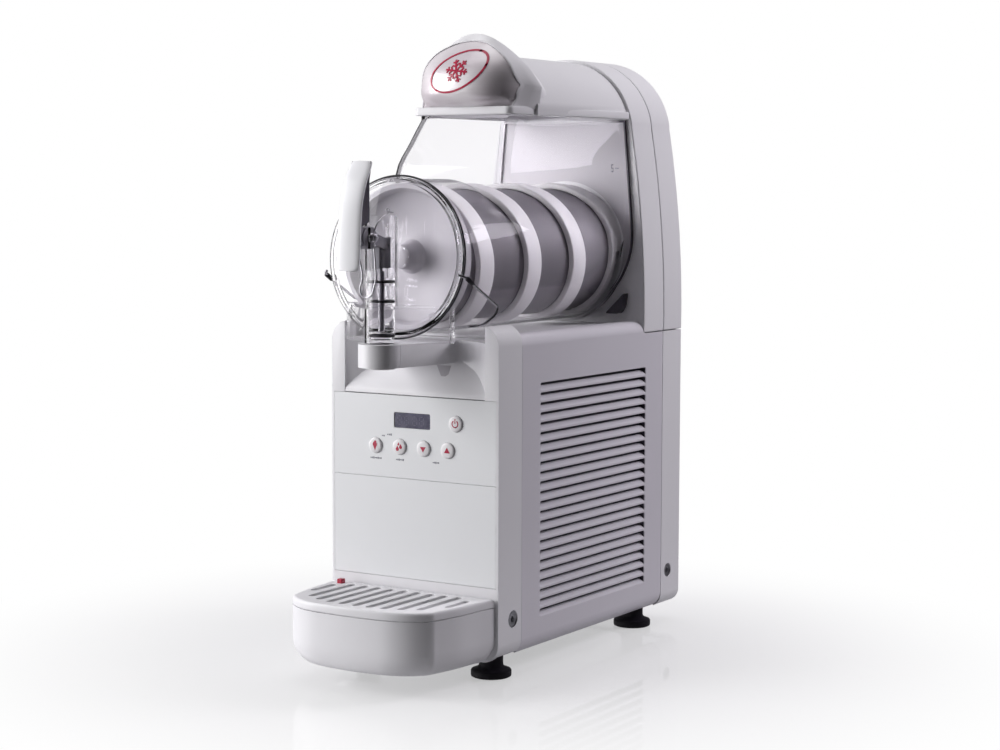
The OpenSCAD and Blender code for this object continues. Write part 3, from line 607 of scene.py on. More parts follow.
def side_panel(s):
    """A folded side panel with its louvres, on the right for s = 1 and on the left for s = -1."""
    n, y0, y1 = 12, LOUVRE_Y0, LOUVRE_Y1
    prof = (arc(HW - FOOT_R, FOOT_Z, FOOT_R, -60, 0, n) + arc(HW - 12, 328, 12, 0, 90, n)
            + [(HW - 20, 340), (HW - 20, 338)] + arc(HW - 12, 328, 10, 90, 0, n)
            + arc(HW - FOOT_R, FOOT_Z, 16, 0, -60, n))
    shell = prism([(s * x, z) for x, z in prof], "y", SIDE_FRONT, SIDE_BACK)
    slots, slats = [], []
    for i in range(LOUVRES):
        z, r = LOUVRE_TOP - i * PITCH_Z, SLOT_R
        slot = (arc(y0 + r, z - r, r, 180, 90, 4) + arc(y1 - r, z - r, r, 90, 0, 4)
                + arc(y1 - r, z - SLOT_H + r, r, 0, -90, 4) + arc(y0 + r, z - SLOT_H + r, r, -90, -180, 4))
        slots.append(prism(slot, "x", *sorted((s * (HW - 6), s * (HW + 6)))))
        blade = spline([(HW - x, z - down) for x, down in BLADE], 4)
        back = [(x - 1.0, zz - 0.5) for x, zz in reversed(blade)]
        slats.append(prism([(s * x, zz) for x, zz in blade + back], "y", y0 - 0.3, y1 + 0.3))
    side = "right" if s > 0 else "left"
    # the rear mouldings reach over this corner
    corner = [(WALL_Y, 400), (WALL_Y, 333)] + arc(299.3, 333, 6, 180, 270, 6) + [(400, 327), (400, 400)]
    piece("side_skin_" + side, shell, "body", PAINT, cut=[prism(corner, "x", -120, 120), merge(*slots)],
          bevel=0.45, segs=2, stands="side_panel_" + side)
    piece("side_louvres_" + side, merge(*slats), "body", PAINT, sharp=50)
    # dark sheets that paint the shade seen through the louvres' gaps, behind them and at their far end
    x0, x1, x2 = HW - 8.0, HW - 7.4, HW - 0.9
    shade_backing = prism([(s * x0, 45), (s * x1, 45), (s * x1, 300), (s * x0, 300)][::s], "y", 70, 306)
    shade = prism([(s * x1, y1 - 0.6), (s * x2, y1 - 0.6), (s * x2, y1 - 0.05), (s * x1, y1 - 0.05)][::s],
                  "z", 54, 289)
    piece("side_louvre_shade_" + side, merge(shade_backing, shade), "body", DARK, bevel=0.15, segs=1)


side_panel(1)
side_panel(-1)

piece("deck", box(-86, 86, SIDE_FRONT, WALL_Y, 334.6, 337.6), "body", WHITE,
      cut=[box(-40, 40, 60, 280, 336.6, 341)], bevel=0.8, stands="top_deck")


def vents(half, low, n):
    """Slots through the back, 12 mm apart."""
    slots = []
    for z in [low + 12 * i for i in range(n)]:
        slot = soften([(-half, z), (half, z), (half, z + 5), (-half, z + 5)], 2.2, 4, True)
        slots.append(prism(slot, "y", DEPTH - 12, DEPTH + 8))
    return merge(*slots)


def rear_outline(d, low=19.5, top=327.0):
    return both(arc(HW - 15, low + 15, 15 - d, -90, 0, 12) + [(HW - d, top)])


HOOD_LOW = 327.9
piece("hood_front_shell", prism(hood_outline(0, HOOD_LOW), "y", 293.7, 338.4), "body", WHITE,
      cut=[prism(hood_outline(WALL, 322), "y", 296.7, 345), rod("y", 285, 300, 22, (0, BARREL_Z), 64)],
      bevel=2.2, segs=4, stands="hood_front")
piece("hood_rear_shell", prism(hood_outline(0, HOOD_LOW), "y", REAR_FRONT, DEPTH), "body", WHITE,
      cut=[prism(hood_outline(WALL, 322), "y", 335, DEPTH - WALL), vents(40, 480, 6)], bevel=1.6, segs=4,
      stands="hood_back")
piece("rear_lower_cover", prism(rear_outline(0), "y", REAR_FRONT, DEPTH), "body", WHITE,
      cut=[prism(rear_outline(WALL, top=330), "y", 335, DEPTH - WALL), box(-90, 90, 335, 372.5, 10, 25),
           vents(62, 130, 12), rod("x", -104.5, -92.5, 7.6, (355, 59)), rod("x", 92.5, 104.5, 7.6, (355, 59)),
           rod("y", DEPTH - 12, DEPTH + 8, 9.1, (55, 62))], bevel=1.4, segs=4, stands="rear_cover")

# recessed screw caps with a round socket
caps = []
for s in (-1, 1):
    for y, z, r in ((27.5, 60, 8.45), (355, 59, 7.45)):
        prof = [(0, 97.4), (2.6, 97.4), (2.9, 98.9), (3.6, 99.15), (r - 1.2, 99.0), (r - 0.5, 99.5),
                (r, 99.2), (r, 96.6), (0, 96.6)]
        g = lathe(prof, "x", (0, y, z), 48)
        caps.append(g if s > 0 else mirror(g))
piece("screw_caps", merge(*caps), "body", SCREW, sharp=28, stands="panel_screws")


# ---------------- spout niche
NOSE_R, COVE_X, NICHE_Y = 22.5, 36.2, 42.3  # the nose, the cove's deepest point and the niche's back
COVE = [(NOSE_R, TAP_Y), (25.5, -32), (28.2, -12), (30, 2), (31.2, 12), (33, 19.5), (36.5, 23.4), (41, 23.2),
        (48, 21.4), (55, 19), (63, 16), (71, 11.6), (78, 6.4), (WIN - 0.03, 1.2)]
# section of the leaning front below them: Y and Z
LEAN = [(0.2, 278.1), (0.2, 279.5), (1.6, 283.6), (8, 292.2), (18, 306), (27.2, 318.6)]


def console_plan():
    right = arc(0, TAP_Y, NOSE_R, -90, -5, 18) + spline(COVE, 5) + [(WIN - 0.03, NICHE_Y)]
    return right + [(-x, y) for x, y in reversed(right)][:-1]


def niche():
    plan = console_plan()
    low = [(x, y) for x, y in plan if x > COVE_X and y > 0]
    walls = [prism([(s * x, y) for x, y in low] + [(s * COVE_X, NICHE_Y)], "z", 284, NOSE_Z + 2)
             for s in (-1, 1)]
    front = prism(spline(LEAN, 6) + [(30.5, 318.6), (5, 278.1)], "x", -WIN + 0.02, WIN - 0.02)
    return prism(plan, "z", NOSE_Z, 333), walls, front


block, cove_walls, leaning = niche()
bore = [rod("z", 290, 345, 13.8, (0, TAP_Y), 64), rod("z", 302, 330, 19.5, (0, TAP_Y), 64)]
parting = [box(s * 23 - 1, s * 23 + 1, TAP_Y - 0.3, TAP_Y + 0.3, 300, 340) for s in (-1, 1)]
piece("niche_shell", block, "body", WHITE, add=cove_walls, cut=bore + parting, bevel=1.1, segs=4, angle=38,
      stands="spout_console")
# small recess with a sloping floor, right of the spout
RECESS = [(15, 19.4, 308), (32, 19.4, 308), (32.5, 13.6, 300), (30, 12.0, 298), (25, 12.0, 298)]
piece("niche_recess", loft([[(x, y + d * 0.8, z - d * 0.58) for x, y, z in RECESS] for d in (-0.12, 0.8)]),
      "body", SHADED)
piece("niche_lip", box(-WIN + 0.1, WIN - 0.1, 38, 43.6, 333.02, 334.5), "body", WHITE, bevel=0.2, segs=2)
piece("niche_front", leaning, "body", WHITE, bevel=0.5, segs=3, angle=50, sharp=40)
# the outlet's star, with six points
STAR_R = (8.6, 4.6)
star = [(STAR_R[i % 2] * cos(radians(30 * i)), TAP_Y + STAR_R[i % 2] * sin(radians(30 * i)))
        for i in range(12)]
nozzle = lathe([(0, 312.5), (10.5, 312.5), (10.5, 333), (13.7, 333), (13.7, 309.5), (12.9, 308.5), (0, 308.5)],
               "z", (0, TAP_Y, 0), 64)
piece("spout_nozzle", nozzle, "body", SATIN, cut=[prism(star, "z", 306, 315)], bevel=0.4, segs=2,
      stands="nozzle")

# ---------------- front panels
BUTTONS = [("power_button", 50.6, 253.0), ("cone_button", -45.5, 226.0), ("drops_button", -16.2, 226.0),
           ("down_button", 12.7, 226.0), ("up_button", 41.2, 226.0)]
WINDOW = soften([(-23.4, 245), (19.9, 245), (19.9, 260.5), (-23.4, 260.5)], 1.6, 5, True)
panel_cut = [merge(*[rod("y", -2, 6, 8.15, (x, z), 48) for _, x, z in BUTTONS]), prism(WINDOW, "y", -2, 6)]
piece("control_fascia", box(-PANEL_W, PANEL_W, 0.0, 2.8, 194.5, 277.3), "body", PANEL, cut=panel_cut,
      add=[box(-WIN + 2, WIN - 2, 2.6, 12, z, z + 2) for z in (197, 272)], bevel=0.4, segs=3,
      stands="control_panel")
piece("lower_fascia", box(-PANEL_W, PANEL_W, 0.0, 2.8, 93.9, 194.15), "body", PANEL,
      add=[box(-WIN + 2, WIN - 2, 2.6, 12, z, z + 2) for z in (96, 189)], bevel=0.4, segs=3,
      stands="lower_front_panel")
# display: a recessed slate pane with faint dark segments
pane = soften([(-23.3, 245.1), (19.8, 245.1), (19.8, 260.4), (-23.3, 260.4)], 1.5, 5, True)
piece("display_pane", prism(pane, "y", 0.75, 2.4), "body", LCD, bevel=0.2, segs=2, stands="display_window")
SEGMENT_Y = (0.62, 0.8)


def digit(cx, cz, h=8.6, w=4.6, t=0.9):
    """Seven bars, t thick, in a figure w wide and h high."""
    g = []
    for dz in (-1, 0, 1):
        z = cz + dz * h / 2
        x0, x1, x2, x3 = cx - w / 2 + t, cx - w / 2 + t * 1.5, cx + w / 2 - t * 1.5, cx + w / 2 - t
        g.append(prism([(x0, z), (x1, z + t / 2), (x2, z + t / 2), (x3, z), (x2, z - t / 2), (x1, z - t / 2)],
                       "y", *SEGMENT_Y))
    for dx in (-1, 1):
        for dz in (-0.5, 0.5):
            x, z = cx + dx * w / 2, cz + dz * h / 2
            z0, z1, z2, z3 = z - h / 4 + t * 0.6, z - h / 4 + t, z + h / 4 - t, z + h / 4 - t * 0.6
            right, left = x + t / 2, x - t / 2
            g.append(prism([(x, z0), (right, z1), (right, z2), (x, z3), (left, z2), (left, z1)], "y", *SEGMENT_Y))
    return g


piece("display_digits", merge(*[g for cx in (-17, -8.6, 1.0, 9.4) for g in digit(cx, 252.7)]), "body", GHOST)


# ---------------- buttons and their pictograms
KEY_R, KEY_Y, KEY_HOLLOW = 7.2, -2.0, 0.5  # radius and front of a key's face, and how deep its edge lies


def key_face(r):
    return KEY_Y + KEY_HOLLOW * (r / KEY_R) ** 3


def on_button(cx, cz, pts, lift=0.16, sink=0.25):
    """A flat outline laid on a key's domed face."""
    return slab([(cx + x, key_face(hypot(x, z)) - lift, cz + z) for x, z in pts],
                [(cx + x, key_face(hypot(x, z)) + sink, cz + z) for x, z in pts])


def strip(p, q, w):
    a, b = Vector(p), Vector(q)
    s = (b - a).normalized().orthogonal() * (w / 2)
    return [tuple(a + s), tuple(b + s), tuple(b - s), tuple(a - s)]


def drop(cx, cz, r, k=1.9):
    return [(cx, cz + r * k)] + arc(cx, cz, r, 50, -230, 16)


def icons(name):
    """The outlines of a key's symbol."""
    if name == "power_button":
        out, inn, n = arc(0, 0, 3.9, 60, -240, 30), arc(0, 0, 2.9, -240, 60, 30), 31
        ring = [[out[i], out[i + 1], inn[n - 2 - i], inn[n - 1 - i]] for i in range(n - 1)]
        return ring + [[(-0.5, 0.4), (0.5, 0.4), (0.5, 5.0), (-0.5, 5.0)]]
    if name == "cone_button":
        return [[(-2.0, -0.4), (2.0, -0.4), (0, -5.4)], arc(0, 0.9, 2.6, 0, 360, 18)[:-1],
                arc(0.3, 3.2, 1.5, 0, 360, 14)[:-1]]
    if name == "drops_button":
        return [drop(-1.9, -2.2, 1.9), drop(2.0, -0.2, 1.7), drop(-0.6, 2.6, 1.1)]
    if name == "down_button":
        return [[(-3.4, 1.9), (3.4, 1.9), (0, -3.6)]]
    return [[(-3.4, -2.4), (3.4, -2.4), (0, 3.4)]]


# behind its face a key has a rim, a collar that holds it in the panel, and a stem: radius and Y
KEY_BODY = [(7.8, -0.95), (8.0, -0.2), (8.0, 2.8), (9.4, 3.0), (9.4, 4.2), (2.2, 4.2), (2.2, 7.6), (0, 7.6)]
for name, cx, cz in BUTTONS:
    prof = [(0, KEY_Y)] + [(r, key_face(r)) for r in (1.5, 3, 4.5, 6, KEY_R)] + KEY_BODY
    piece(name.replace("button", "key"), lathe(prof, "y", (cx, 0, cz), 56), name, SATIN, sharp=40,
          stands=name)
    piece(name.replace("button", "mark"), merge(*[on_button(cx, cz, pts) for pts in icons(name)]), name, RED)
# dashes instead of words: centre, number of strokes and width
LABELS = [(-45.5, 213.0, 8, 14), (-16.2, 213.0, 6, 10), (27, 213.0, 5, 8), (-36.5, 236.0, 2, 4),
          (-29, 237.5, 3, 6)]
labels = []
for cx, cz, n, w in LABELS:
    for i in range(n):
        x = cx - w / 2 + w * (i + 0.5) / n
        h = 0.55 + 0.25 * ((i * 7) % 3)  # uneven, as letters are
        labels.append(box(x - w / n * 0.36, x + w / n * 0.36, -0.1, 0.04, cz - h, cz + h))
piece("fascia_labels", merge(*labels), "body", PRINT, stands="button_icons")


# ---------------- drip tray
def tray():
    """The basin: its round-bottomed outside, then its inside from the rim down."""
    # where the underside starts to curve in, by how much, and over what depth
    belly, wide, deep = 44, 16, 23.2
    outer = [tray_ring(wide * (1 - sqrt(max(0.0, 1 - (max(0.0, belly - z) / deep) ** 2))), z)
             for z in (21.5, 21.9, 22.8, 24.4, 27, 30.5, 35, 40, 44, 60, 75.3)]
    inner = [(75.3, 3.0), (60, 3.0), (44, 3.2), (38, 4.4), (32, 7.5), (28, 12.0), (25.5, 18.5)]
    return loft(outer + [tray_ring(d, z) for z, d in inner])


hooks = [box(s * 50 - 6, s * 50 + 6, -4.5, 5.4, 62, 68) for s in (-1, 1)]
piece("tray_basin", tray(), "tray", WHITE, add=hooks, bevel=0.8, segs=3, angle=50, sharp=40,
      stands="drip_tray")


def grid():
    out = [(75.7, 0.9), (76.3, 0.2), (77, 0.0), (80.6, 0.0), (82.4, 0.45), (83.5, 1.3), (84.05, 2.5),
           (84.2, 4.0)]
    rings = [tray_ring(d, z) for z, d in reversed(out)] + [tray_ring(3, 75.7), tray_ring(3, 80.7)]
    return loft(rings)


def capsule(x, y0, y1, w):
    """A slot through the grid, round at both ends."""
    ends = [(x + w * cos(radians(a)), y0 + w + w * sin(radians(a))) for a in range(180, 361, 18)]
    ends += [(x + w * cos(radians(a)), y1 - w + w * sin(radians(a))) for a in range(0, 181, 18)]
    return prism(ends, "z", 70, 90)


slots = [capsule(16.0 * i, -REACH + 12 + (abs(i) * 16 / 64) ** 3 * 16, -12, 3.8) for i in range(-4, 5)]
slots += [capsule(s * 80, -61.4, -22.6, 3.4) for s in (-1, 1)]
piece("tray_grid", grid(), "grid", WHITE, cut=[merge(*slots), box(-83.4, -76.4, -16.6, -9.6, 70, 90)],
      bevel=0.7, segs=3, angle=50, sharp=40, stands="drip_grid")
piece("level_float", box(-83, -76.8, -16.2, -10, 65, 88.6), "float", FLOAT,
      add=[box(-86, -70, -24, -8, 56, 66)], bevel=0.9, segs=3, stands="tray_float")


# ---------------- clear bowl
def hopper_ring(z, y0, w0, y1, w1, n=10):
    """The hopper's plan at a height: its front edge and half-width, and the same at its back."""
    front = arc(w0 - 20, y0 + 20, 20, -4, -90, n)
    pts = [(w1, y1)]
    for i in range(1, 8):
        t = i / 8
        pts.append((w1 + (front[0][0] - w1) * t + 1.6 * sin(pi * t), y1 + (front[0][1] - y1) * t))
    pts += front + [(-x, y) for x, y in reversed(front)]
    pts += [(-x, y) for x, y in reversed(pts[:8])]
    return [(x, y, z) for x, y in pts]


# height, front, and half-widths in front and behind
LEVELS = [(418, 90, 73, 76), (446, 60, 69.5, 84), (497, 55, 69, 81.5), (529, 71.5, 63, 78.5),
          (556.6, 88, 57, 76)]


def hopper(d=0.0, top=0.0):
    """The hopper d in from its outside, carried on above its edge to cut it open."""
    rings = []
    for z, y0, w0, w1 in spline(LEVELS, 4):
        rings.append(hopper_ring(z, y0 + d, w0 - d, 288 + (6 if d else 0), w1 - d))
    if top:
        z, y0, w0, w1 = LEVELS[-1]
        rings.append(hopper_ring(z + top, y0 + d, w0 - d, 294, w1 - d))
    return loft(rings)


front_flange = tilted(lathe([(0, 1.3), (77.2, 1.3), (77.8, 1.9), (77.8, 4.4), (77.2, 5), (0, 5)], "y", n=128))
rim = loft([hopper_ring(z, 88 - e, 57 + e, 288, 76 + e * 0.4) for z, e in
            ((548.5, 0.0), (549.5, 1.6), (556.6, 1.6))])
BOWL_STEPS = [(front_flange, "UNION"), (rod("y", -70, 300, BORE_R, (0, BARREL_Z), 128), "DIFFERENCE"),
              (hopper(WALL, 8), "DIFFERENCE"), (prism(flange_outline(10, 541), "y", 282, 296), "DIFFERENCE")]
piece("bowl_shell", rod("y", -40, 288, BARREL_R, (0, BARREL_Z), 128), "bowl", CLEAR,
      add=[hopper(), prism(flange_outline(0.2), "y", 284, 290.3), rim],
      cut=[tilted(box(-100, 100, -80, 1.3, -100, 100))], then=BOWL_STEPS, stands="bowl", sharp=30)

# level mark printed on the hopper's right flank: a figure five and its tick, as strokes in Y and Z
MARK_X, INK = 79.6, 0.25
STROKES = [(255.6, 260.2, 507.6, 508.6), (255.6, 256.6, 504.6, 508.6), (255.6, 260.2, 504.2, 505.2),
           (259.2, 260.2, 501, 505.2), (255.6, 260.2, 500.6, 501.6), (264, 272, 504.2, 505.2)]
piece("level_mark", merge(*[box(MARK_X, MARK_X + INK, *stroke) for stroke in STROKES]), "bowl", PRINT)

GASKET_Y = (290.5, 293.4)
# its material paints the right side dark with shade and the left side pale with light
piece("bowl_seal_rear", prism(flange_outline(0.3, 556.2), "y", *GASKET_Y), "bowl", GASKET_SHADE_PAINT,
      add=[rod("y", *GASKET_Y, 77.4, (0, BARREL_Z), 128)],
      cut=[prism(flange_outline(2.9, 553.8), "y", 288, 296), rod("y", 288, 296, 73.8, (0, BARREL_Z), 128)],
      bevel=0.6, segs=3, stands="bowl_gasket")
# the wall behind the hopper, seen through it
piece("window_wall", prism(flange_outline(3.6, 553.2), "y", 292.7, 293.25), "body", SHADED,
      cut=[rod("y", 290, 296, 75, (0, BARREL_Z), 96)])
seal = [(79.3 + cos(a), 0.75 * sin(a)) for a in [2 * pi * k / 16 for k in range(16)]]
piece("cover_ring_seal", tilted(lathe(seal, "y", (0, 0, 0), 160, closed=True)), "bowl", RUBBER,
      stands="cover_seal")


# ---------------- clear front cover with the tap's tube
def chin(d=0.0):
    """Plan of the cover's lower front, d in from its outside."""
    pts = [(62 - d * 1.3, -20), (64 - d * 1.3, -24), (13 - d * 0.8, TAP_Y - 12 + d * 0.6), (6, TAP_Y - 17 + d)]
    return soften(both(pts), 6, 6, True)


disc = tilted(lathe([(0, -8), (72, -8), (75.4, -7.4), (76.5, -6.4), (76.5, -5), (77.2, -5), (77.8, -4.4),
                     (77.8, -1.9), (77.2, -1.3), (73, -1.3), (73, -5), (0, -5)], "y", n=128))
lugs = [box(s * 12.1 - 1.5, s * 12.1 + 1.5, -91, -60, 426, 446) for s in (-1, 1)]
COVER_STEPS = [
    (prism(chin(), "z", 334, 370), "UNION"),
    (on_tap([(0, 334.6), (15.2, 334.6), (16, 335.4), (16, 456.2), (15.2, 457), (0, 457)]), "UNION"),
    (merge(*lugs), "UNION"),
    (box(-4, 4, -42, -34, 372, 448), "UNION"),  # rib between tube and disc
    (prism(chin(WALL), "z", 326, 367), "DIFFERENCE"),
    (on_tap([(0, 320), (13.5, 320), (13.5, 480), (0, 480)]), "DIFFERENCE"),
    (box(-10.2, 10.2, -90, TAP_Y, 404, 470), "DIFFERENCE"),  # opening for the handle's arms
    (rod("x", -20, 20, 2.6, PIVOT, 24), "DIFFERENCE")]
# tolerant, or scraps of these solids stay inside the clear plastic
piece("cover_shell", disc, "bowl", CLEAR_TAP, then=COVER_STEPS, tolerant=True, stands="front_cover", sharp=30)

# ---------------- wire clips
CLIP = [(64, 2, 349), (74, 11, 350), (81.5, 23, 360), (83, 25, 368), (83.4, -16, 389), (83.2, -32, 398),
        (78, -38, 401)]
clip = tube(soften(CLIP, 4, 7), 1.5, 14)
sleeve = tube([(83.3, -31, 397.4), (83.5, -22, 392.4)], 2.3, 14)
for n, side in (("latch_right", lambda g: g), ("latch_left", mirror)):
    piece(n.replace("latch", "sleeve"), side(sleeve), n, RUBBER, sharp=60)
    piece(n.replace("latch", "clip"), side(clip), n, WIRE, stands=n, sharp=60)

# ---------------- tap
# the plunger with three grooves, and their rings
piston = [(0, 337), (10, 337), (10, 338.5), (13.2, 338.5), (13.2, 340), (12.1, 340), (12.1, 342.4),
          (13.2, 342.4), (13.2, 373), (12.1, 373), (12.1, 375.4), (13.2, 375.4), (13.2, 378), (5, 378),
          (5, 389), (13.2, 389), (13.2, 392), (12.1, 392), (12.1, 394.4), (13.2, 394.4), (13.2, 397),
          (2.8, 397), (2.8, 345), (0, 345)]
piece("tap_plunger", on_tap(piston), "piston", CLEAR_TAP, stands="tap_piston", sharp=30)
rings = [on_tap([(12.75 + 0.7 * cos(a), z + 1 + sin(a)) for a in [2 * pi * k / 12 for k in range(12)]],
                closed=True) for z in (340.2, 373.2, 392.2)]
piece("plunger_rings", merge(*rings), "piston", RUBBER, stands="piston_seals")
head = box(-5, 5, TAP_Y - 9.5, TAP_Y + 9.5, 406, 436)
slit = box(-6, 6, TAP_Y - 2.2, TAP_Y + 3.5, 425.9, 430.1)
piece("plunger_rod", rod("z", 345.5, 407, 2.7, (0, TAP_Y), 32), "piston", KNUCKLE, add=[head], cut=[slit],
      bevel=0.8, segs=3, stands="piston_rod")

# the handle's front, from its lower end up: Y and Z
PADDLE = [(-110, 405), (-108.8, 425), (-107.4, 445), (-105.2, 465), (-102, 478), (-97, 491), (-91, 501),
          (-86.5, 508.5)]


def paddle():
    """A crowned shell along that line, narrower at its top and rounded at its foot."""
    half, thick, crown, across = 13.0, 3.0, 0.9, 13
    line = spline(PADDLE, 5)
    last, rings = len(line) - 1, []
    for i, (y, z) in enumerate(line):
        a, b = line[max(i - 1, 0)], line[min(i + 1, last)]
        d = Vector((b[0] - a[0], b[1] - a[1])).normalized()
        out_y, out_z = -d[1], d[0]
        w = half - 1.6 * max(0.0, (i / last - 0.72) / 0.28) ** 2
        w -= 3.2 * max(0.0, 1 - (z - PADDLE[0][1]) / 5.0) ** 2
        ring = []
        for k in range(across):
            x = w * (1 - k / 6.0)
            c = crown * (1 - (x / w) ** 2) - crown * (abs(x / w) ** 8)
            ring.append((x, y + out_y * c, z + out_z * c))
        for k in range(across):
            ring.append((-w * (1 - k / 6.0) * 0.97, y - out_y * thick, z - out_z * thick))
        rings.append(ring)
    return loft(rings)


piece("handle_shell_front", paddle(), "handle", HANDLE, bevel=0.5, segs=3, angle=50, sharp=45)
cheek = [(y + 0.5, z) for y, z in spline(PADDLE[2:], 4)]
cheek += [(-85.4, 507), (-86.6, 501), (-89.1, 490), (-89.1, 451)]
hollow = [(y + 4.5, z) for y, z in spline(PADDLE[2:7], 4)] + [(-80, 503), (-80, 440), (-104, 440)]
piece("handle_core", prism(cheek, "x", -11.3, 11.3), "handle", DARK,
      cut=[prism(hollow, "x", -10, 10), box(-10.2, 10.2, -96, -70, 424, 448)], bevel=0.7, segs=3,
      stands="tap_handle")
ARM = [(-80, 442), (-54, 433), (-50.5, 430.5), (-50.5, 425.5), (-54, 423.5), (-80, 429)]
arms = [prism(ARM, "x", *((5.4, 8) if s > 0 else (-8, -5.4))) for s in (-1, 1)]
root = prism([(-106.4, 428), (-106.6, 448), (-88, 445), (-90, 428)], "x", -6.5, 6.5)
piece("handle_knuckle", rod("x", -8, 8, 11, PIVOT, 64, ease=1.0), "handle", KNUCKLE, add=arms + [root],
      cut=[rod("x", -20, 20, 2.6, PIVOT, 32)], bevel=0.6, segs=3)
heads = [rod("x", s * 14.55 - 0.85, s * 14.55 + 0.85, 3.6, PIVOT, 32, ease=0.4) for s in (-1, 1)]
piece("pivot_pin", rod("x", -14, 14, 2.5, PIVOT, 32), "bowl", WIRE, add=heads, stands="handle_pin", sharp=30)
piece("link_pin_rod", rod("x", -8, 8, 1.9, (TAP_Y, 428), 28, ease=0.4), "handle", WIRE, stands="link_pin")


def coil(x0, x1, turns, r, a0, n=20):
    """Turns of wire round the handle's hinge."""
    m = int(turns * n)
    turn = [a0 + 2 * pi * i / n for i in range(m + 1)]
    return [(x0 + (x1 - x0) * i / m, PIVOT[0] + r * cos(a), PIVOT[1] + r * sin(a)) for i, a in enumerate(turn)]


# the return spring's bow below the handle, and its leg up to the tube
loop = [(-9.4, -80.6, 432.8), (-9.2, -77.8, 416), (-5.4, -76.8, 398), (-9.6, -77.2, 386), (-6.5, -77, 379.2),
        (-1, -77, 378), (5, -77, 381), (10, -77, 396), (9.2, -77.8, 416), (9.4, -80.6, 432.8)]
leg = [(9.3, -83, 440), (9.3, -72, 451.5), (9, -60, 457.4), (7.2, -53, 459.5), (5, -47.5, 462.5),
       (4.2, -50, 464.2), (4.4, -52.5, 461.8), (4.2, -46, 459.8), (4, -40, 459.6)]
wires = [tube(soften(loop, 5, 6), 0.9, 10), tube(soften(leg, 2.6, 5), 0.75, 10)]
wires += [tube(coil(s * 8.4, s * 10.0, 1.6, 4.1, 0.4), 0.8, 10) for s in (-1, 1)]
piece("return_spring", merge(*wires), "bowl", WIRE, stands="tap_spring", sharp=60)


# ---------------- drum and auger
DRUM_PROFILE = [(0, 2), (62, 2), (65, 3), (66, 5), (66, 290.2), (58, 290.4), (58, 293.2), (0, 293.2)]
piece("cold_drum", on_barrel(DRUM_PROFILE), "body", DRUM, stands="evaporator_drum", sharp=30)

RIBBON_R, RIBBON_W = (66.4, 72.4), 27.0  # inside and outside of the auger's ribbon, and its width
RIBBON_Y, TURN = (277.0, -13.0), 4.0  # its two ends, and its degrees for each millimetre


def helix(step=6.0):
    (r0, r1), (back, front) = RIBBON_R, RIBBON_Y
    section = soften([(0, r0), (RIBBON_W, r0), (RIBBON_W, r1), (0, r1)], 1.8, 4, True)
    rings, a = [], 0.0
    while a <= TURN * (back - front) + 1e-6:
        y, c, sn = back - a / TURN, cos(radians(a)), sin(radians(a))
        rings.append([(r * c, y + t, BARREL_Z + r * sn) for t, r in section])
        a += step
    return loft(rings)


# the plate in front, with a dome over the shaft's nut and a raised ring round its edge
PLATE_PROFILE = [(0, -23.4), (4.5, -23.2), (8.5, -22.4), (11, -20.6), (12.2, -17.5), (12.9, -12),
                 (14.3, -6.5), (17, -3), (22, -1.4), (40, -1.5), (43, -3.0), (60, -5.5), (63.5, -8),
                 (65, -14), (67, -16.5), (71, -16.5), (72, -15.5), (72, -7), (71, -6), (66.4, -5.4),
                 (64.5, -2.4), (43, 0.4), (30, 1.2), (0, 1.2)]
TAIL_PROFILE = [(66.6, 273), (71.2, 273), (72, 274), (72, 280.4), (71.2, 281), (66.6, 281)]
piece("auger_ribbon", helix(), "auger", SATIN, sharp=50)
# the plate's white satin is painted darker with the shade inside the barrel
piece("auger_plate", on_barrel(PLATE_PROFILE), "auger", PLATE_PAINTED_SHADE, sharp=28)
piece("auger_tail_ring", on_barrel(TAIL_PROFILE, closed=True), "auger", SATIN, stands="auger", sharp=40)


# ---------------- lid and visor
LID_W, LID_WALL = 76, 2.6


def lid_ring(y, k):
    """Arch with its wall, k times its width at the back: the outside, then back along the inside."""
    def arch(t, z):
        return both([(LID_W * k - t, LID_Z), (LID_W * k - t, z)]
                    + [(x * k, zz) for x, zz in arc(0, ARCH_Z, LID_R - t, 20, 90, 22)])

    return [(x, y, z) for x, z in arch(0.0, 562.0)] + [(x, y, z) for x, z in reversed(arch(LID_WALL, 561.0))]


# its width along its length
LID_TAPER = [(WALL_Y, 1.0), (270, 0.992), (240, 0.978), (210, 0.960), (180, 0.938), (150, 0.91), (125, 0.88)]
piece("lid_shell", loft([lid_ring(y, k) for y, k in LID_TAPER]), "lid", WHITE, bevel=0.8, segs=3, angle=50,
      sharp=40, stands="lid")


def lid_plan(d):
    """Outline of the flange that lies on the hopper's edge, d in from the outside."""
    half = arc(51.6, 93.5, 8 - d, -90, -8, 8) + [(68 - d, 150.0), (73.6 - d, 200.0), (78.0 - d, 250.0)]
    return both(half + [(80.4 - d, 293.0 - d)])


FLANGE = [(0.9, LID_Z), (0, 557.8), (0, 563.6), (1.1, 565.2), (5.5, 565.2), (5.5, LID_Z)]
piece("lid_flange", loft([[(x, y, z) for x, y in lid_plan(d)] for d, z in FLANGE], closed=True), "lid", WHITE,
      sharp=38)

# The visor's domed face: half-width and distance up the slope, then the ridge of the brim behind it
ARCH = [(61, 25), (52.8, 45), (41.7, 58), (29.3, 66), (15.4, 71.8), (0, 73.4)]
BRIM = [(70, 128, 585), (58.5, 120.5, 605.5), (45.5, 116.5, 618.5), (32, 113.7, 629), (16.5, 112.3, 637.3),
        (0, 112, 640.6)]
SLOPE = radians(13.3)
FACE_W, FACE_Y, FACE_Z, SWELL = 61.0, 90, 562, 26.0  # half-width, lower edge, and how far it stands out
FULLEST = 36  # the distance up the slope where it does


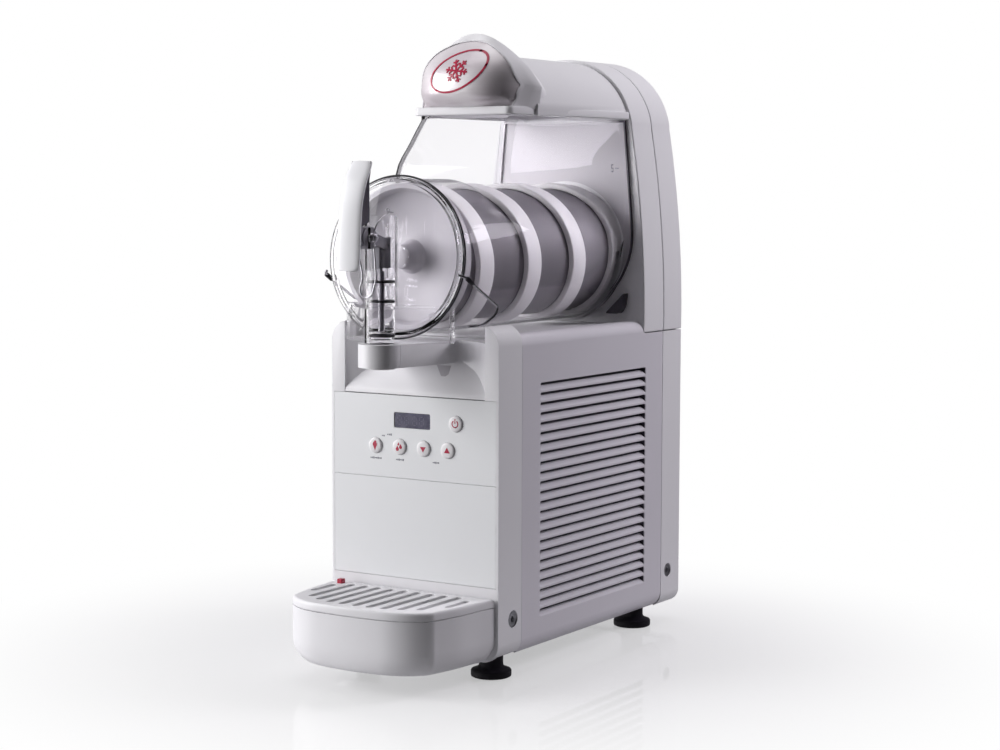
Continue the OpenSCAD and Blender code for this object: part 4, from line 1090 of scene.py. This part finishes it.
def on_face(x, t, lift=0.0):
    """A point on the visor's face, x across it and t up its slope, lifted off it."""
    side, up = x / FACE_W, t - FULLEST
    bow = 14.0 * side ** 2 * (0.45 + 0.55 * min(1.0, max(0.0, t) / 26.0)) + 5.7 * (max(0.0, t - 20) / 53.4) ** 2
    rise = (up / 38) ** 1.6 if up > 0 else (abs(up) / 34) ** 3
    swell = SWELL * max(0.0, 1 - abs(side) ** 4.5 - rise) ** 0.7
    y = FACE_Y + t * sin(SLOPE) + bow - swell - lift * cos(SLOPE)
    return x, y, FACE_Z + t * cos(SLOPE) + lift * sin(SLOPE)


def between(p, q, n):
    return [tuple(u + (v - u) * i / n for u, v in zip(p, q)) for i in range(n)]


def visor_lines():
    """The face's outline and the brim's ridge, point for point."""
    arch = spline(ARCH + [(-x, t) for x, t in reversed(ARCH[:-1])], 5)[:-1]
    ridge = spline(BRIM + [(-x, y, z) for x, y, z in reversed(BRIM[:-1])], 5)[:-1]
    corners = [(-61, 25), (-55, 2.5), (55, 2.5), (61, 25)]
    far = [(-70, 128, 585), (-66.5, 128, 563), (66.5, 128, 563), (70, 128, 585)]
    for i, n in ((0, 5), (1, 14), (2, 5)):
        arch += between(corners[i], corners[i + 1], n)
        ridge += between(far[i], far[i + 1], n)
    return arch, ridge


FACE_LINE, RIDGE = visor_lines()


def face_ring(k, lift):
    """The face's outline shrunk to k of its size."""
    return [on_face(x * k, 30 + (t - 30) * k, lift) for x, t in FACE_LINE]


def visor():
    """Rings from the middle of the face out over the brim and back into the lid's arch."""
    rings = [face_ring(k, -2.6) for k in (0.04, 0.2, 0.4, 0.6, 0.75, 0.86, 0.93, 0.962)]
    rings += [face_ring(k, lift) for k, lift in ((0.968, -1.0), (0.974, 0.5), (0.986, 0.8), (0.998, 0.2))]
    edge = face_ring(1.0, -0.3)
    for share in (0.04, 0.5, 0.96):
        rings.append([tuple(u + (v - u) * share for u, v in zip(p, q)) for p, q in zip(edge, RIDGE)])
    for back, inn in ((0.8, 0.3), (2.4, 1.6), (4.5, 4.5)):
        rings.append([(x * (1 - inn / 90), y + back, 563 + (z - 563) * (1 - inn / 80)) for x, y, z in RIDGE])
    for y, inn in ((150, 0.8), (158, 4.0)):
        ring = []
        for x, _, z in RIDGE:
            a, r = atan2(z - ARCH_Z, x / 0.91), LID_R - inn
            ring.append((x * 0.97, y, 563) if z < 563.5 else (r * 0.91 * cos(a), y, ARCH_Z + r * sin(a)))
        rings.append(ring)
    return loft(rings)


piece("visor_hood", visor(), "lid", WHITE, sharp=32)
film_rings = [(k, -0.6) for k in (0.02, 0.15, 0.3, 0.45, 0.6, 0.72, 0.82, 0.9, 0.955)]
film_rings += [(0.964, -0.8), (0.966, -1.2), (0.966, -2.0)]
piece("visor_film", loft([face_ring(k, lift) for k, lift in film_rings]), "lid", FILM, sharp=40,
      stands="visor_plate")


def wrapped(pts, cx, ct, lo=-0.64, hi=-0.2):
    """A flat outline pressed onto the visor's film."""
    return slab([on_face(cx + x, ct + t, hi) for x, t in pts], [on_face(cx + x, ct + t, lo) for x, t in pts])


EMBLEM = (1, 40)  # its centre on the face
OVAL_OUT, OVAL_IN, OVAL_LEAN = (33.5, 20.8), (31.3, 18.8), radians(23)


def oval(size, q):
    x, z = size[0] * cos(q), size[1] * sin(q)
    return x * cos(OVAL_LEAN) - z * sin(OVAL_LEAN), x * sin(OVAL_LEAN) + z * cos(OVAL_LEAN)


def emblem(n=72):
    """A plain snowflake in a leaning oval."""
    g = []
    for i in range(n):
        a, b = 2 * pi * i / n, 2 * pi * (i + 1) / n
        g.append(wrapped([oval(OVAL_OUT, a), oval(OVAL_OUT, b), oval(OVAL_IN, b), oval(OVAL_IN, a)], *EMBLEM))
    for i in range(6):
        a = radians(60 * i + 53)
        d = Vector((cos(a), sin(a)))
        for t0, t1 in ((0.5, 4.5), (4.5, 9), (9, 13)):
            g.append(wrapped(strip(d * t0, d * t1, 1.9), *EMBLEM))
        for at, long in ((5, 4.6), (9, 3.6)):
            for side in (-1, 1):
                b = a + side * radians(55)
                g.append(wrapped(strip(d * at, d * at + Vector((cos(b), sin(b))) * long, 1.6), *EMBLEM))
    return merge(*g)


piece("visor_mark", emblem(), "lid", RED, stands="visor_emblem")

# ---------------- feet, and buffers behind the bowl
FOOT = [(0, 0), (18.4, 0), (20, 0.8), (20.3, 2.2), (20.3, 6.2), (19.6, 7.4), (14, 9.6), (12.6, 11), (12, 13),
        (12, 21.7), (0, 21.7)]
feet = [lathe(FOOT, "z", (x, y, 0), 48) for x in (-75, 75) for y in (27, 319)]
piece("feet", merge(*feet), "body", RUBBER, sharp=30, stands="foot_pads")
outline = soften([(58, 348), (74, 348), (79, 356), (81.4, 371), (70, 360)], 2.5, 4, True)
stops = [prism([(s * x, z) for x, z in outline][::s], "y", 283, 293.4) for s in (-1, 1)]
piece("bowl_buffers", merge(*stops), "body", DARK, bevel=0.8, segs=3, stands="bowl_stops")

# ---------------- carried-over nodes
for s in frame["record"]["subparts"]:
    node = NODES[s["node"]]
    if not node.hide_render:
        node.data.materials.clear()
        node.data.materials.append(BY_SLOT[s["material_slot"]])


# ---------------- floor, light, world
FLOOR = ((-14, -8), (14, 20))  # corners, in metres
FADE = 0.42, 1.0, 0.18, 0.62  # how much of it is faded: near the object and away, and at what distances


def stage():
    (x0, y0), (x1, y1) = FLOOR
    me = bpy.data.meshes.new("floor")
    me.from_pydata([(x0, y0, 0), (x1, y0, 0), (x1, y1, 0), (x0, y1, 0)], [], [(0, 1, 2, 3)])
    o = bpy.data.objects.new("floor", me)
    scene.collection.objects.link(o)
    m = Mat("floor_gloss", Roughness=0.03, Specular_IOR_Level=1.0, Emission_Color=(1, 1, 1, 1),
            Emission_Strength=0.02)
    m.finish(m.ramp(m.noise(3, 2), [(0.3, (0.86, 0.86, 0.875, 1)), (0.7, (0.89, 0.89, 0.90, 1))]),
             m.spread(m.noise(14, 2), 0.02, 0.04))
    away = m.n("ShaderNodeVectorMath", operation="LENGTH")
    m.link(m.pos, away.inputs[0])
    fade = m.spread(away.outputs["Value"], *FADE, True)
    # seen directly, the faded part is as white as the world behind it, and it bounces no light
    seen = m.n("ShaderNodeLightPath").outputs["Is Camera Ray"]
    gone = m.mix(seen, m.n("ShaderNodeBsdfTransparent").outputs[0], m.n("ShaderNodeEmission").outputs[0])
    m.link(m.mix(fade, m.b.outputs[0], gone), m.out.inputs["Surface"])
    me.materials.append(m.m)


def lamp(name, at, to, size, power, seen=True, colour=(1, 1, 1)):
    """A soft panel at a place in metres, turned to a point, and seen in reflections or not."""
    d = bpy.data.lights.new(name, "AREA")
    d.shape, d.size, d.size_y = "RECTANGLE", size[0], size[1]
    d.energy, d.color = power, colour
    o = bpy.data.objects.new(name, d)
    scene.collection.objects.link(o)
    o.location = Vector(at)
    o.rotation_euler = (Vector(to) - Vector(at)).to_track_quat("-Z", "Y").to_euler()
    o.visible_glossy = seen


def world():
    """White where it is seen, directly or through the clear bowl. As a light it is bright behind and to
    the left, and dim to the right."""
    w = bpy.data.worlds.new("studio")
    scene.world = w
    w.use_nodes = True
    g = Nodes(w.node_tree)
    out, path = g.n("ShaderNodeOutputWorld"), g.n("ShaderNodeLightPath").outputs
    dot = g.n("ShaderNodeVectorMath", operation="DOT_PRODUCT")
    dot.inputs[1].default_value = Vector((-0.93, 0.28, 0.24)).normalized()
    g.link(g.n("ShaderNodeTexCoord").outputs["Generated"], dot.inputs[0])
    plain, soft = g.n("ShaderNodeBackground"), g.n("ShaderNodeBackground")
    plain.inputs["Color"].default_value = (1, 1, 1, 1)
    soft.inputs["Color"].default_value = (0.99, 0.965, 1.02, 1)
    g.link(g.spread(dot.outputs["Value"], 0.01, 0.45, -0.65, 0.65, True), soft.inputs["Strength"])
    # a ray through clear plastic counts as seeing only before it has bounced off something
    bounced = g.math("ADD", path["Diffuse Depth"], path["Glossy Depth"])
    through = g.math("MULTIPLY", g.math("LESS_THAN", bounced, 0.5), path["Is Transmission Ray"])
    seen = g.math("MAXIMUM", path["Is Camera Ray"], through)
    g.link(g.mix(seen, soft.outputs[0], plain.outputs[0]), out.inputs[0])


stage()
world()
lamp("key", (-1.96, -1.42, 0.9), (0, 0, 0.36), (1.5, 2.1), 68)
lamp("rear", (1.05, 1.05, 1.0), (0.1, 0.25, 0.40), (0.6, 0.6), 15.5, False, (1, 0.965, 1.03))
lamp("top", (-0.1, 0.2, 2.4), (0, 0.2, 0.3), (1.6, 1.6), 11)
scene.view_settings.view_transform = "Standard"
scene.cycles.transparent_max_bounces = 24
